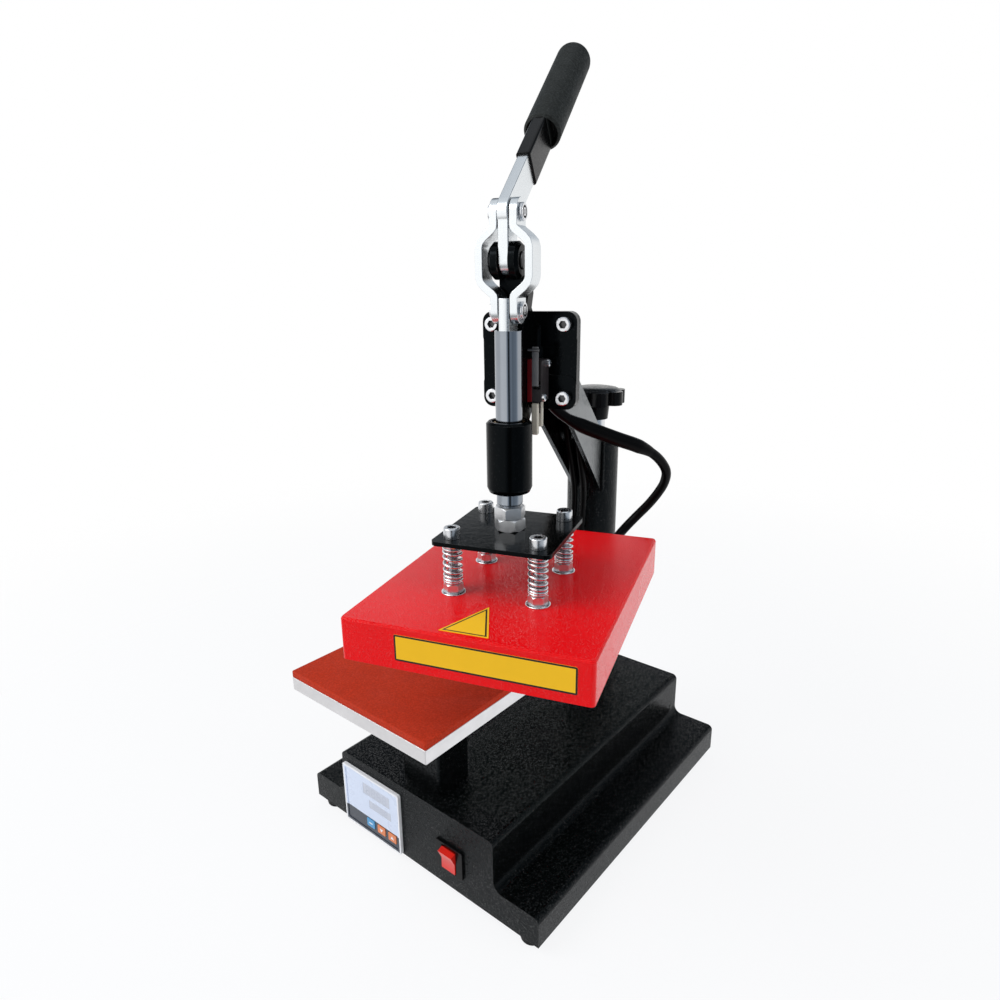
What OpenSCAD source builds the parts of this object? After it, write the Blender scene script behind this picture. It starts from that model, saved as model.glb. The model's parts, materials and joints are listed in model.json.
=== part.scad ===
// Logo heat press: a swing-away head on a post, pressed down by a hand-lever toggle clamp.
// Millimetres, +Z up, -Y towards the operator, origin on the table under the middle of the base.

/* [Base] */
// Width of the base across the side ledges
base_w = 264; // [240:1:300]
// Depth of the base, front to back
base_d = 304; // [290:1:340]
// Height of the rubber feet
foot_h = 8; // [6:0.5:12]
// Diameter of the rubber feet
foot_d = 20; // [16:1:26]
// Height of the side ledges above the table
ledge_z = 34; // [30:0.5:44]
// Height of the raised deck above the table
deck_z = 78; // [76:0.5:90]
// Width of the raised deck
deck_w = 178; // [172:1:200]
// Sheet thickness of the base
sheet_t = 2; // [1.6:0.1:3]
// Outside radius of the folded edges
fold_r = 5; // [4:0.5:8]
// Fillet between the deck walls and the ledges
root_r = 8; // [5:0.5:12]

/* [Controls] */
// Width of the temperature controller
controller_w = 73; // [66:1:78]
// Height of the temperature controller
controller_h = 60; // [54:1:62]
// Middle of the controller from the middle of the base
controller_x = -49; // [-52:1:-45]
// Width of a controller key
key_w = 10; // [8:0.5:10.5]
// Height of a controller key
key_h = 8; // [6:0.5:9]
// How far a key goes in
key_travel = 0.8; // [0.5:0.1:1.2]
// Width of the rocker switch frame
rocker_frame_w = 29; // [26:1:32]
// Height of the rocker switch frame
rocker_frame_h = 26; // [24:1:30]
// Middle of the rocker switch from the middle of the base
rocker_x = 44; // [38:1:60]
// Height of the rocker switch above the table
rocker_z = 37.5; // [32:0.5:45]
// Angle between the two faces of the rocker
rocker_tilt = 24; // [16:1:26]

/* [Lower platen] */
// Width of the lower platen
platen_w = 150; // [130:1:180]
// Depth of the lower platen
platen_d = 150; // [130:1:170]
// Thickness of the aluminium platen
platen_t = 11; // [8:0.5:15]
// Thickness of the silicone pad
pad_t = 5.5; // [4:0.5:8]
// Height of the pad's upper face above the table
pad_z = 186.5; // [170:0.5:187]
// Width of the pedestal
pedestal_w = 44; // [38:1:60]
// Depth of the pedestal
pedestal_d = 36; // [32:1:50]
// Pedestal axis behind the middle of the platen
pedestal_back = 6; // [0:1:10]

/* [Post and arm] */
// Post axis from the back edge of the base
post_back = 36.5; // [36:0.5:44]
// Outside diameter of the swing post
post_od = 50; // [46:0.5:56]
// Wall of the swing post
post_wall = 3; // [2:0.25:4]
// Height of the top of the swing post
post_top = 333; // [325:1:340]
// Distance from the front of the base to the plunger axis, with the head over the platen
plunger_front = 25; // [20:0.5:34]
// Angle that the head is swung out
head_turn = 18.7; // [0:0.1:40]
// Width of the arm channel
arm_w = 28; // [22:1:36]
// Sheet thickness of the arm channel
arm_t = 3.5; // [2.5:0.25:5]
// Diameter over the lobes of the clamping knob
knob_d = 60; // [50:1:70]
// Number of lobes on the clamping knob
knob_lobes = 8; // [5:1:10]

/* [Toggle clamp] */
// Height of the fulcrum of the lever
fulcrum_z = 491; // [485:0.5:500]
// Distance from the fulcrum to the crank pin
crank_r = 28; // [26:0.5:32]
// Distance between the two pins of a link
link_l = 58; // [54:0.5:62]
// Thickness of a link
link_t = 5; // [3:0.25:6]
// Width of a link
link_w = 17; // [15:0.5:20]
// Thickness of the lever bar and the plunger tongue
lever_t = 7; // [5:0.5:9]
// Width of the lever bar above the crank pin
lever_w = 20; // [17:0.5:24]
// Backward lean of the raised lever
lever_lean = 51; // [35:1:60]
// Length of the lever from the crank pin
lever_l = 191; // [170:1:230]
// Length of the grip
grip_l = 103; // [90:1:125]
// Diameter of the grip
grip_d = 26; // [24:0.5:32]
// Diameter of the toggle pins
pin_d = 8; // [6:0.5:9]
// Diameter of the plunger
plunger_d = 18; // [16:0.5:20]
// Diameter of the guide barrel
barrel_d = 31; // [28:0.5:36]
// Height of the lower end of the guide barrel
barrel_bottom = 340; // [336:0.5:350]
// Height of the upper end of the guide barrel
barrel_top = 390; // [380:0.5:395]
// Plunger axis to the front face of the clamp flange
flange_gap = 42; // [36:0.5:48]
// Width of the clamp flange
flange_w = 69; // [66:0.5:80]
// Height of the clamp flange
flange_h = 67; // [66:0.5:76]
// Height of the middle of the clamp flange
flange_z = 425.5; // [424:0.5:428]
// Thickness of the clamp flange
flange_t = 5; // [4:0.25:8]
// Thickness of the plate that the clamp is screwed to
mount_t = 4; // [3:0.25:6]
// Spacing of the clamp screws, side to side
clamp_pitch_x = 52; // [48:0.5:53]
// Spacing of the clamp screws, up and down
clamp_pitch_z = 50; // [46:0.5:51]

/* [Heater] */
// Width of the heater cover
cover_w = 168; // [160:1:190]
// Depth of the heater cover
cover_d = 213; // [200:1:230]
// Front of the cover ahead of the plunger axis
cover_front = 90.5; // [84:0.5:100]
// Height of the cover's upper face above the table
cover_top = 274.5; // [274:0.5:280]
// Height of the heater cover
cover_h = 30; // [28:0.5:31]
// Sheet thickness of the heater cover
cover_t = 1.5; // [1:0.1:2]
// Side of the square heating plate
heat_w = 150; // [130:1:150]
// Thickness of the heating plate
heat_t = 16; // [12:0.5:18]
// How far the heating plate stands below the cover
heat_proud = 2; // [1:0.25:2]
// Side of the square spring plate
spring_plate_w = 84; // [78:1:100]
// Thickness of the spring plate
spring_plate_t = 3; // [2:0.25:5]
// Height of the spring plate's upper face
spring_plate_z = 314; // [313:0.5:318]
// Spacing of the four guide bolts
bolt_pitch = 61; // [54:0.5:64]
// Diameter of the guide bolts
bolt_d = 7; // [6:0.5:8]
// Outside diameter of a pressure spring
spring_d = 13.8; // [12.5:0.1:15]
// Wire diameter of a pressure spring
wire_d = 2; // [1.6:0.1:2.2]
// Turns of a pressure spring
spring_turns = 7; // [5:1:7]

/* [Hidden] */
$fn = 64;
// Clearances
slip = 0.3;
run = 0.05;
seat = 0.1;
eps = 0.01;
overlap = 1;

// Base and post places
post_y = base_d / 2 - post_back;
arm_reach = base_d - post_back - plunger_front;
front_y = -base_d / 2;
shaft_y = post_y - arm_reach;
floor_top = foot_h + sheet_t;
foot_inset_x = 14;
foot_inset_y = 11;
return_w = 26;
screw_d = 4;
relay_w = 45;
relay_d = 58;
relay_h = 22;
relay_x = 50;
relay_y = 40;
terminal_w = 64;
terminal_d = 22;
terminal_h = 16;
terminal_x = -40;
terminal_y = 60;

// Lower platen places
platen_top = pad_z - pad_t;
platen_bottom = platen_top - platen_t;
pedestal_y = shaft_y + pedestal_back;
pedestal_wall = 3;
pedestal_cap_t = 4;
pedestal_cap = 96;
platen_screw_pitch = 70;
platen_screw_d = 5;
pedestal_bolt_d = 8;
pedestal_bolt_pitch = 18;

// Pivot places
pivot_d = 40;
pivot_flange_d = 2 * (post_back - sheet_t - 2);
pivot_flange_t = 5;
pivot_screw_pcd = pivot_flange_d - 12.5;
pivot_screw_d = 6;
thrust_t = 3;
post_bottom = deck_z + thrust_t + seat;
post_id = post_od - 2 * post_wall;
cap_t = 4;
pivot_top = post_top - cap_t - 7;
bush_l = 30;
stud_d = 10;
stud_grip = 30;
knob_h = 13;
knob_hub_h = 15;
knob_hub_d = 30;
collar_d = 22;
collar_h = 17;
knob_z = post_top + seat + collar_h + knob_hub_h;

// Controller and rocker places
bezel_t = 3;
bezel_lip = 3;
controller_z = foot_h + controller_h / 2 + 0.5;
case_depth = 46;
face_t = 1;
pocket_d = 6;
key_z = controller_z - controller_h / 2 + bezel_lip + key_h / 2 + 5;
key_pitch = 14;
key_first = -2;
key_flange = 1;
rocker_w = 14.5;
rocker_h = 21;
rocker_y = front_y + 1;
grommet_d = 20;
grommet_x = -2.5;
grommet_gap = 46;

// Toggle places, measured from the plunger axis
crank_z = fulcrum_z + crank_r;
tongue_z = crank_z - link_l;
shoulder_z = tongue_z - 12.5;
tongue_top = tongue_z + 7.5;
link_gap = 0.5;
link_in = lever_t / 2 + link_gap;
link_wide = 14;
flare_near = 8.5;
flare_far = 20;
hub_r = 9;
hub_half = 10;
drum_r = 11.5;
drum_chamfer = 2.2;
slot_back = link_w / 2 + 0.7;
web_t = 12;
web_front = plunger_d / 2 + 2;
neck_back = 20;
barrel_r = barrel_d / 2;
bush_t = 2.5;
sheath_start = 46;
sheath_t = 1.4;
hollow_l = 9;
hollow_wall = 2;
pin_head_d = 11;
pin_head_t = 2;
clamp_screw_d = 6;
flange_back = flange_gap + flange_t;
mount_back = flange_back + mount_t;

// Arm heights at the clamp end and at the post
arm_front_top = flange_z + 28.5;
arm_front_bottom = flange_z - 13.5;
arm_post_top = post_top;
arm_post_bottom = post_top - 53;
arm_open = 40;
arm_cap = 8;
arm_lap = 14;

// Limit switch on the right of the clamp web
switch_w = 10.3;
switch_d = 16;
switch_h = 27.8;
switch_y = 27.5;
switch_z = 414;
switch_screw_d = 3;
switch_pitch = 22;
switch_front = switch_y - switch_d / 2;
switch_axis_z = switch_z - 2.5;
leaf_x = web_t / 2 + 6.8;
leaf_w = 4.6;
leaf_l = 26;
leaf_gap = 2.6;
leaf_t = 0.6;
leaf_pin_l = 6.2;
button_z = switch_axis_z + 7;

// Heater stack
cover_bottom = cover_top - cover_h;
heat_bottom = cover_bottom - heat_proud;
heat_top = heat_bottom + heat_t;
cover_mid = cover_d / 2 - cover_front;
plate_bottom = spring_plate_z - spring_plate_t;
flange_washer_d = 17;
flange_washer_t = 1.6;
nut_h = 5.5;
nut_af = 12;
spring_bottom = cover_top + flange_washer_t + nut_h;
stem_d = 12;
lock_nut_af = 19;
lock_nut_h = 8.5;
element_d = 6.5;
gland_x = 45;
gland_z = cover_bottom + cover_h / 2;

// Heater cable, from the gland on the cover to the open side of the arm, from the plunger axis
heater_cable_d = 8;
heater_cable_path = [
    [45, 130.5, 259.5], [45, 142.5, 259.5], [45, 151.5, 260], [47, 160.5, 262.5], [52, 166.5, 268.5],
    [60, 169.5, 278], [69, 168.5, 289], [77, 164.5, 301], [83, 158.5, 313], [85, 150.5, 325],
    [81, 141.5, 336], [74, 131.5, 345], [64, 121.5, 352], [52, 111.5, 358], [40, 102.5, 364],
    [28, 94.5, 370], [17, 86.5, 377], [8, 79.5, 386], [2, 73.5, 397], [0, 69.5, 409], [0, 66.5, 420]];

// Two leads from the arm down the front of the post to the deck, in the head's own axes
lead_d = 6;
lead_path = [
    [-4.5, -118, 394], [-4.5, -106, 386], [-4.5, -95, 376], [-5, -84, 361], [-6, -74, 344],
    [-6, -65, 327], [-6, -56, 310], [-6.5, -47, 294], [-8, -39, 278], [-10, -33, 262],
    [-11.5, -30, 246], [-12, -29.5, 228], [-12, -29.5, 205], [-11.5, -30, 180], [-11, -31, 155],
    [-10, -34, 132], [-8.5, -39, 112], [-7, -45, 96], [-7, -46, 86], [-7, -46, 71]];
lead_shift = [9, 0, 0];

// Turns the head's own axes, with the post axis at x = 0 and y = 0, to where the head is swung
module in_head() {
    translate([0, post_y, 0]) rotate([0, 0, head_turn]) children();
}

// The head's axes moved to the plunger axis
module at_plunger() {
    in_head() translate([0, -arm_reach, 0]) children();
}

// Places copies at the four corners of a rectangle
module four(dx, dy) {
    for (sx = [-1, 1], sy = [-1, 1]) translate([sx * dx / 2, sy * dy / 2, 0]) children();
}

// Rectangle with round corners, about its middle
module round_rect(w, h, r) {
    square([w - 2 * r, h], center = true);
    square([w, h - 2 * r], center = true);
    for (sx = [-1, 1], sy = [-1, 1]) translate([sx * (w / 2 - r), sy * (h / 2 - r)]) circle(r);
}

// Stands a front-view outline (x, z) up, going back from y = 0
module stand(depth) {
    rotate([90, 0, 0]) translate([0, 0, -depth]) linear_extrude(depth) children();
}

// Stands a side-view outline (y, z) up, centred on x = 0
module side_on(width) {
    rotate([90, 0, 90]) translate([0, 0, -width / 2]) linear_extrude(width) children();
}

// Cylinder along x, centred on x = 0
module cross_pin(d, length) {
    rotate([0, 90, 0]) cylinder(d = d, h = length, center = true);
}

// Hexagonal prism by its size across flats
module hex(af, h) {
    cylinder(d = af / cos(30), h = h, $fn = 6);
}

// Nut with chamfered corners
module hex_nut(af, h, hole) {
    corner = af / cos(30);
    difference() {
        intersection() {
            hex(af, h);
            rotate_extrude() polygon([
                [0, 0], [af / 2, 0], [corner / 2, h * 0.15], [corner / 2, h * 0.85],
                [af / 2, h], [0, h]]);
        }
        translate([0, 0, -1]) cylinder(d = hole, h = h + 2);
    }
}

// Socket head screw with its seat at z = 0 and its shank below
module socket_screw(d, length, head_d, head_h) {
    difference() {
        union() {
            translate([0, 0, -length]) cylinder(d = d, h = length + eps);
            cylinder(d = head_d, h = head_h - 0.6);
            translate([0, 0, head_h - 0.6]) cylinder(d1 = head_d, d2 = head_d - 1.2, h = 0.6);
        }
        translate([0, 0, head_h * 0.45]) hex(d * 0.8, head_h);
    }
}

// Hat-shaped cross-section of the base, drawn in by an inset and open below from a height
module hat(inset, bottom) {
    module top_rounded(w, z1, r) {
        translate([-w / 2, bottom]) square([w, z1 - r - bottom]);
        translate([-w / 2 + r, bottom]) square([w - 2 * r, z1 - bottom]);
        for (sx = [-1, 1]) translate([sx * (w / 2 - r), z1 - r]) circle(r);
    }
    root = root_r + inset;
    top_rounded(base_w - 2 * inset, ledge_z - inset, fold_r - inset);
    top_rounded(deck_w - 2 * inset, deck_z - inset, fold_r - inset);
    for (sx = [-1, 1]) translate([sx * (deck_w / 2 - inset), ledge_z - inset])
        mirror([sx < 0 ? 1 : 0, 0]) difference() {
            translate([-overlap, -overlap]) square(root + overlap);
            translate([root, root]) circle(root);
        }
}

module foot_places() {
    four(base_w - 2 * foot_inset_x, base_d - 2 * foot_inset_y) children();
}

module inlet_place() {
    translate([-48, base_d / 2, ledge_z + 6]) children();
}

module base_shell() color("#1c1d1f") {
    difference() {
        union() {
            translate([0, front_y, 0]) difference() {
                stand(base_d) hat(0, foot_h);
                translate([0, sheet_t, 0]) stand(base_d - 2 * sheet_t) hat(sheet_t, foot_h - overlap);
            }
            // Returns along the sides that the floor is screwed to
            for (sx = [-1, 1]) translate([sx * (base_w - sheet_t - return_w) / 2, 0, floor_top])
                linear_extrude(sheet_t) square([return_w, base_d - sheet_t], center = true);
        }
        foot_places() translate([0, 0, foot_h]) cylinder(d = screw_d + slip, h = 8);
        translate([controller_x, front_y - 1, controller_z]) stand(sheet_t + 2)
            square([controller_w - 2 * bezel_lip + slip, controller_h - 2 * bezel_lip + slip], center = true);
        translate([rocker_x, front_y - 1, rocker_z]) stand(sheet_t + 2)
            square([rocker_frame_w - 3 + slip, rocker_frame_h - 3 + slip], center = true);
        inlet_place() translate([0, 1, 0]) rotate([0, 0, 180]) stand(sheet_t + 2)
            square([27 + slip, 20 + slip], center = true);
        translate([0, post_y, deck_z - sheet_t - 1]) {
            cylinder(d = pivot_d + slip, h = sheet_t + 2);
            for (a = [45:90:359]) rotate(a) translate([pivot_screw_pcd / 2, 0, 0])
                cylinder(d = pivot_screw_d + slip, h = sheet_t + 2);
        }
        translate([0, pedestal_y, deck_z - sheet_t - 1]) for (sx = [-1, 1])
            translate([sx * pedestal_bolt_pitch / 2, 0, 0]) cylinder(d = pedestal_bolt_d + slip, h = sheet_t + 2);
        grommet_place() translate([0, 0, -sheet_t - 1]) cylinder(d = grommet_d - 4, h = sheet_t + 2);
    }
}

module base_floor() color("#3a3c3f") {
    translate([0, 0, foot_h]) difference() {
        linear_extrude(sheet_t) square([base_w - 2 * sheet_t - slip, base_d - 2 * sheet_t - slip], center = true);
        foot_places() translate([0, 0, -1]) cylinder(d = screw_d + slip, h = sheet_t + 2);
        // Cooling slots under the relay
        for (i = [-3:3]) translate([50 + i * 8, 40, -1]) linear_extrude(sheet_t + 2) round_rect(3, 40, 1.4);
    }
}

module rubber_feet() color("#222222") {
    foot_places() difference() {
        rotate_extrude() polygon([
            [0, 0], [foot_d / 2 - 2, 0], [foot_d / 2 - 1, 1], [foot_d / 2, foot_h], [0, foot_h]]);
        translate([0, 0, -1]) cylinder(d = screw_d + slip, h = foot_h + 2);
        translate([0, 0, -1]) cylinder(d = screw_d * 2.4, h = foot_h / 2 + 1);
    }
}

module foot_screws() color("silver") {
    foot_places() translate([0, 0, foot_h / 2]) rotate([180, 0, 0])
        socket_screw(screw_d, foot_h / 2 + 2 * sheet_t + 2, screw_d * 2, 2.4);
}

module power_inlet() color("#161616") {
    inlet_place() rotate([0, 0, 180]) difference() {
        union() {
            translate([0, -2, 0]) stand(2) round_rect(30, 23, 2);
            stand(20) square([27, 20], center = true);
        }
        translate([0, -3, 0]) stand(16) polygon([[-11.5, -8], [11.5, -8], [11.5, 4], [7.5, 8], [-7.5, 8], [-11.5, 4]]);
    }
    // Contact blades
    inlet_place() rotate([0, 0, 180]) for (x = [-6.5, 0, 6.5])
        translate([x, 1, x == 0 ? 3 : -2]) stand(13 - eps) square([2, 4], center = true);
}

module solid_state_relay() color("#e4e1d8") {
    translate([relay_x, relay_y, floor_top]) difference() {
        linear_extrude(relay_h) round_rect(relay_w, relay_d, relay_w / 15);
        for (sx = [-1, 1], sy = [-1, 1]) translate([sx * relay_w * 0.29, sy * relay_d * 0.36, relay_h * 0.64])
            cylinder(d = relay_w / 5, h = relay_h);
        for (sy = [-1, 1]) translate([0, sy * relay_d * 0.43, -1]) cylinder(d = screw_d + slip, h = relay_h + 2);
    }
}

module terminal_block() color("#2b2b2b") {
    pitch = terminal_w / 6.4;
    translate([terminal_x, terminal_y, floor_top]) difference() {
        linear_extrude(terminal_h) square([terminal_w, terminal_d], center = true);
        for (i = [-2.5:2.5], sy = [-1, 1]) translate([i * pitch, sy * terminal_d * 0.27, terminal_h / 2])
            cylinder(d = pitch * 0.7, h = terminal_h);
    }
}

// Where the leads go through the deck, in front of the post
module grommet_place() {
    in_head() translate([grommet_x, -grommet_gap, deck_z]) children();
}

module lead_grommet() color("#151515") {
    grommet_place() difference() {
        union() {
            rotate_extrude() polygon([[0, 0], [grommet_d / 2, 0], [grommet_d / 2 - 0.6, 2], [grommet_d / 2 - 3, 3.5], [0, 3.5]]);
            translate([0, 0, -sheet_t]) cylinder(d = grommet_d - 4 - slip, h = sheet_t + eps);
            translate([0, 0, -sheet_t - 2]) cylinder(d = grommet_d - 1, h = 2);
        }
        for (x = [-4.5, 4.5]) translate([x, 0, -sheet_t - 3]) cylinder(d = lead_d + slip, h = sheet_t + 8);
    }
}

module at_controller() {
    translate([controller_x, front_y, controller_z]) children();
}

module controller_case() color("#f1f1f4") {
    inner_w = controller_w - 2 * bezel_lip;
    inner_h = controller_h - 2 * bezel_lip;
    at_controller() difference() {
        union() {
            translate([0, -bezel_t, 0]) stand(bezel_t) round_rect(controller_w, controller_h, 2);
            stand(case_depth) square([inner_w, inner_h], center = true);
        }
        // Seat of the face sheet, and the space that the keys go back into
        translate([0, -bezel_t - 1, 0]) stand(face_t + 1.6) round_rect(inner_w - 1, inner_h - 1, 1);
        translate([0, -bezel_t, key_z - controller_z]) stand(pocket_d)
            square([inner_w - 3, key_h + 3.2], center = true);
    }
}

module controller_face() color("#d9dbec") {
    inner_w = controller_w - 2 * bezel_lip - 1 - slip;
    inner_h = controller_h - 2 * bezel_lip - 1 - slip;
    at_controller() translate([0, 0.6 - bezel_t, 0]) difference() {
        stand(face_t) round_rect(inner_w, inner_h, 1);
        for (i = [0:2]) translate([i * key_pitch + key_first, -1, key_z - controller_z]) stand(face_t + 2)
            square([key_w + slip, key_h + slip], center = true);
        translate([0, -1, 0]) displays(face_t + 2, slip);
    }
}

// The upper and the lower display, grown by a margin
module displays(depth, margin) {
    translate([7, 0, controller_h * 0.26]) stand(depth) square([34 + margin, 11 + margin], center = true);
    translate([11, 0, controller_h * 0.03]) stand(depth) square([28 + margin, 8 + margin], center = true);
}

module display_windows() color("#c9cad6") {
    at_controller() translate([0, 0.6 - bezel_t, 0]) displays(face_t, 0);
}

// A controller key with the flange that keeps it behind the face
module key(place) {
    at_controller() translate([place * key_pitch + key_first, 0, key_z - controller_z]) {
        translate([0, -bezel_t, 0]) stand(face_t + 0.6 + seat) round_rect(key_w, key_h, 0.8);
        translate([0, face_t + 0.6 - bezel_t + seat, 0]) stand(key_flange) square([key_w + 1, key_h + 2], center = true);
    }
}

module key_set() color("#2f7fc0") key(0);

module key_down() color("#e0793a") key(1);

module key_up() color("#e0793a") key(2);

module rocker_frame() color("#0e0e0f") {
    translate([rocker_x, front_y, rocker_z]) difference() {
        union() {
            translate([0, -2, 0]) stand(2) round_rect(rocker_frame_w, rocker_frame_h, 1.5);
            stand(22) square([rocker_frame_w - 3, rocker_frame_h - 3], center = true);
        }
        translate([0, -3, 0]) stand(16) square([rocker_w + 2 * slip, rocker_h + 1.6], center = true);
        translate([0, rocker_y - front_y, 0]) cross_pin(2 + 2 * run, rocker_w + 3);
    }
}

module rocker_cap() color("#d3121a") {
    h = rocker_h / 2;
    rise = (h - 1) * tan(rocker_tilt / 2);
    translate([rocker_x, rocker_y, rocker_z]) {
        rotate([rocker_tilt / 2, 0, 0]) side_on(rocker_w) polygon([
            [-4 - rise, h - 1], [-4, 0], [-4 - rise, -h + 1], [-1, -h + 0.6], [6, -3], [6, 3], [-1, h - 0.6]]);
        cross_pin(2, rocker_w + 2.4);
    }
}

module pedestal() color("#17181a") {
    height = platen_bottom - deck_z;
    inner = [pedestal_w - 2 * pedestal_wall, pedestal_d - 2 * pedestal_wall];
    translate([0, pedestal_y, deck_z]) difference() {
        union() {
            linear_extrude(height) round_rect(pedestal_w, pedestal_d, 3);
            translate([0, -pedestal_back, height - pedestal_cap_t]) linear_extrude(pedestal_cap_t)
                round_rect(pedestal_cap, pedestal_cap, 6);
        }
        translate([0, 0, 6]) linear_extrude(height - 6 - pedestal_cap_t) square(inner, center = true);
        for (sx = [-1, 1]) translate([sx * pedestal_bolt_pitch / 2, 0, -1]) cylinder(d = pedestal_bolt_d + slip, h = 9);
        translate([0, -pedestal_back, height - pedestal_cap_t - 1]) four(platen_screw_pitch, platen_screw_pitch)
            cylinder(d = platen_screw_d + slip, h = pedestal_cap_t + 2);
    }
}

module pedestal_bolts() color("silver") {
    translate([0, pedestal_y, deck_z - sheet_t]) for (sx = [-1, 1])
        translate([sx * pedestal_bolt_pitch / 2, 0, 0]) {
            rotate([180, 0, 0]) socket_screw(pedestal_bolt_d, sheet_t + 13, pedestal_bolt_d * 1.6, pedestal_bolt_d);
            translate([0, 0, sheet_t + 6]) hex_nut(13, 5, pedestal_bolt_d + slip);
        }
}

module lower_platen() color("#dfe2e4") {
    translate([0, shaft_y, platen_bottom]) difference() {
        linear_extrude(platen_t) round_rect(platen_w, platen_d, 1);
        four(platen_screw_pitch, platen_screw_pitch) translate([0, 0, -1])
            cylinder(d = platen_screw_d + slip, h = platen_t - 1);
    }
}

module platen_screws() color("silver") {
    translate([0, shaft_y, platen_bottom - pedestal_cap_t]) four(platen_screw_pitch, platen_screw_pitch)
        rotate([180, 0, 0]) socket_screw(platen_screw_d, pedestal_cap_t + platen_t - 4, platen_screw_d * 1.7, platen_screw_d);
}

module silicone_pad() color("#a3452f") {
    translate([0, shaft_y, platen_top]) linear_extrude(pad_t) round_rect(platen_w, platen_d, 1.5);
}

module pivot_shaft() color("#8c9094") {
    translate([0, post_y, 0]) difference() {
        union() {
            translate([0, 0, deck_z - sheet_t]) cylinder(d = pivot_d, h = pivot_top - deck_z + sheet_t - 2);
            translate([0, 0, pivot_top - 2]) cylinder(d1 = pivot_d, d2 = pivot_d - 4, h = 2);
            translate([0, 0, deck_z - sheet_t - pivot_flange_t]) cylinder(d = pivot_flange_d, h = pivot_flange_t);
        }
        for (a = [45:90:359]) rotate(a) translate([pivot_screw_pcd / 2, 0, deck_z - sheet_t - pivot_flange_t - 1])
            cylinder(d = pivot_screw_d + slip, h = pivot_flange_t + 2);
        translate([0, 0, pivot_top - 40]) cylinder(d = stud_d + 2 * run, h = 41);
    }
}

module pivot_screws() color("silver") {
    translate([0, post_y, deck_z]) for (a = [45:90:359]) rotate(a) translate([pivot_screw_pcd / 2, 0, 0]) {
        translate([0, 0, -pivot_flange_t - sheet_t]) rotate([180, 0, 0])
            socket_screw(pivot_screw_d, pivot_flange_t + sheet_t - 0.2, pivot_screw_d * 1.6, pivot_screw_d * 0.8);
    }
}

module thrust_washer() color("#b58a46") {
    translate([0, post_y, deck_z]) difference() {
        cylinder(d = post_od + 6, h = thrust_t);
        translate([0, 0, -1]) cylinder(d = pivot_d + 2 * run, h = thrust_t + 2);
    }
}

module swing_post() color("#16171a") {
    in_head() difference() {
        union() {
            translate([0, 0, post_bottom]) cylinder(d = post_od, h = post_top - post_bottom - 1.5);
            translate([0, 0, post_top - 1.5]) cylinder(d1 = post_od, d2 = post_od - 3, h = 1.5);
        }
        translate([0, 0, post_bottom - 1]) cylinder(d = post_id, h = post_top - cap_t - post_bottom + 1);
        translate([0, 0, post_top - cap_t - 1]) cylinder(d = stud_d + 1, h = cap_t + 2);
    }
}

module post_bushes() color("#b08d4c") {
    in_head() for (z = [post_bottom, pivot_top - 2 - bush_l]) translate([0, 0, z]) difference() {
        cylinder(d = post_id - 2 * run, h = bush_l);
        translate([0, 0, -1]) cylinder(d = pivot_d + 2 * run, h = bush_l + 2);
    }
}

module arm_channel() {
    drop = arm_t * 1.22;
    near = mount_back;
    module side(sink, reach) polygon([
        [near - sink, arm_front_bottom - sink * arm_open], [near - sink, arm_front_top - sink * drop],
        [arm_reach, arm_post_top - reach * drop - arm_cap],
        [arm_reach, arm_post_bottom - sink * arm_open - arm_lap]]);
    color("#17181a") at_plunger() difference() {
        side_on(arm_w) side(0, 0);
        side_on(arm_w - 2 * arm_t) side(1, 1);
        translate([0, arm_reach, arm_post_bottom - 2 * arm_open]) cylinder(d = post_od + run, h = post_top);
    }
}

module mounting_plate() color("#141518") {
    at_plunger() translate([0, flange_back, flange_z]) difference() {
        stand(mount_t) round_rect(flange_w, flange_h, 7);
        clamp_screw_holes(mount_t, clamp_screw_d + slip);
    }
}

module clamp_screw_holes(depth, d) {
    for (sx = [-1, 1], sz = [-1, 1]) translate([sx * clamp_pitch_x / 2, -1, sz * clamp_pitch_z / 2])
        stand(depth + 2) circle(d = d);
}

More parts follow.
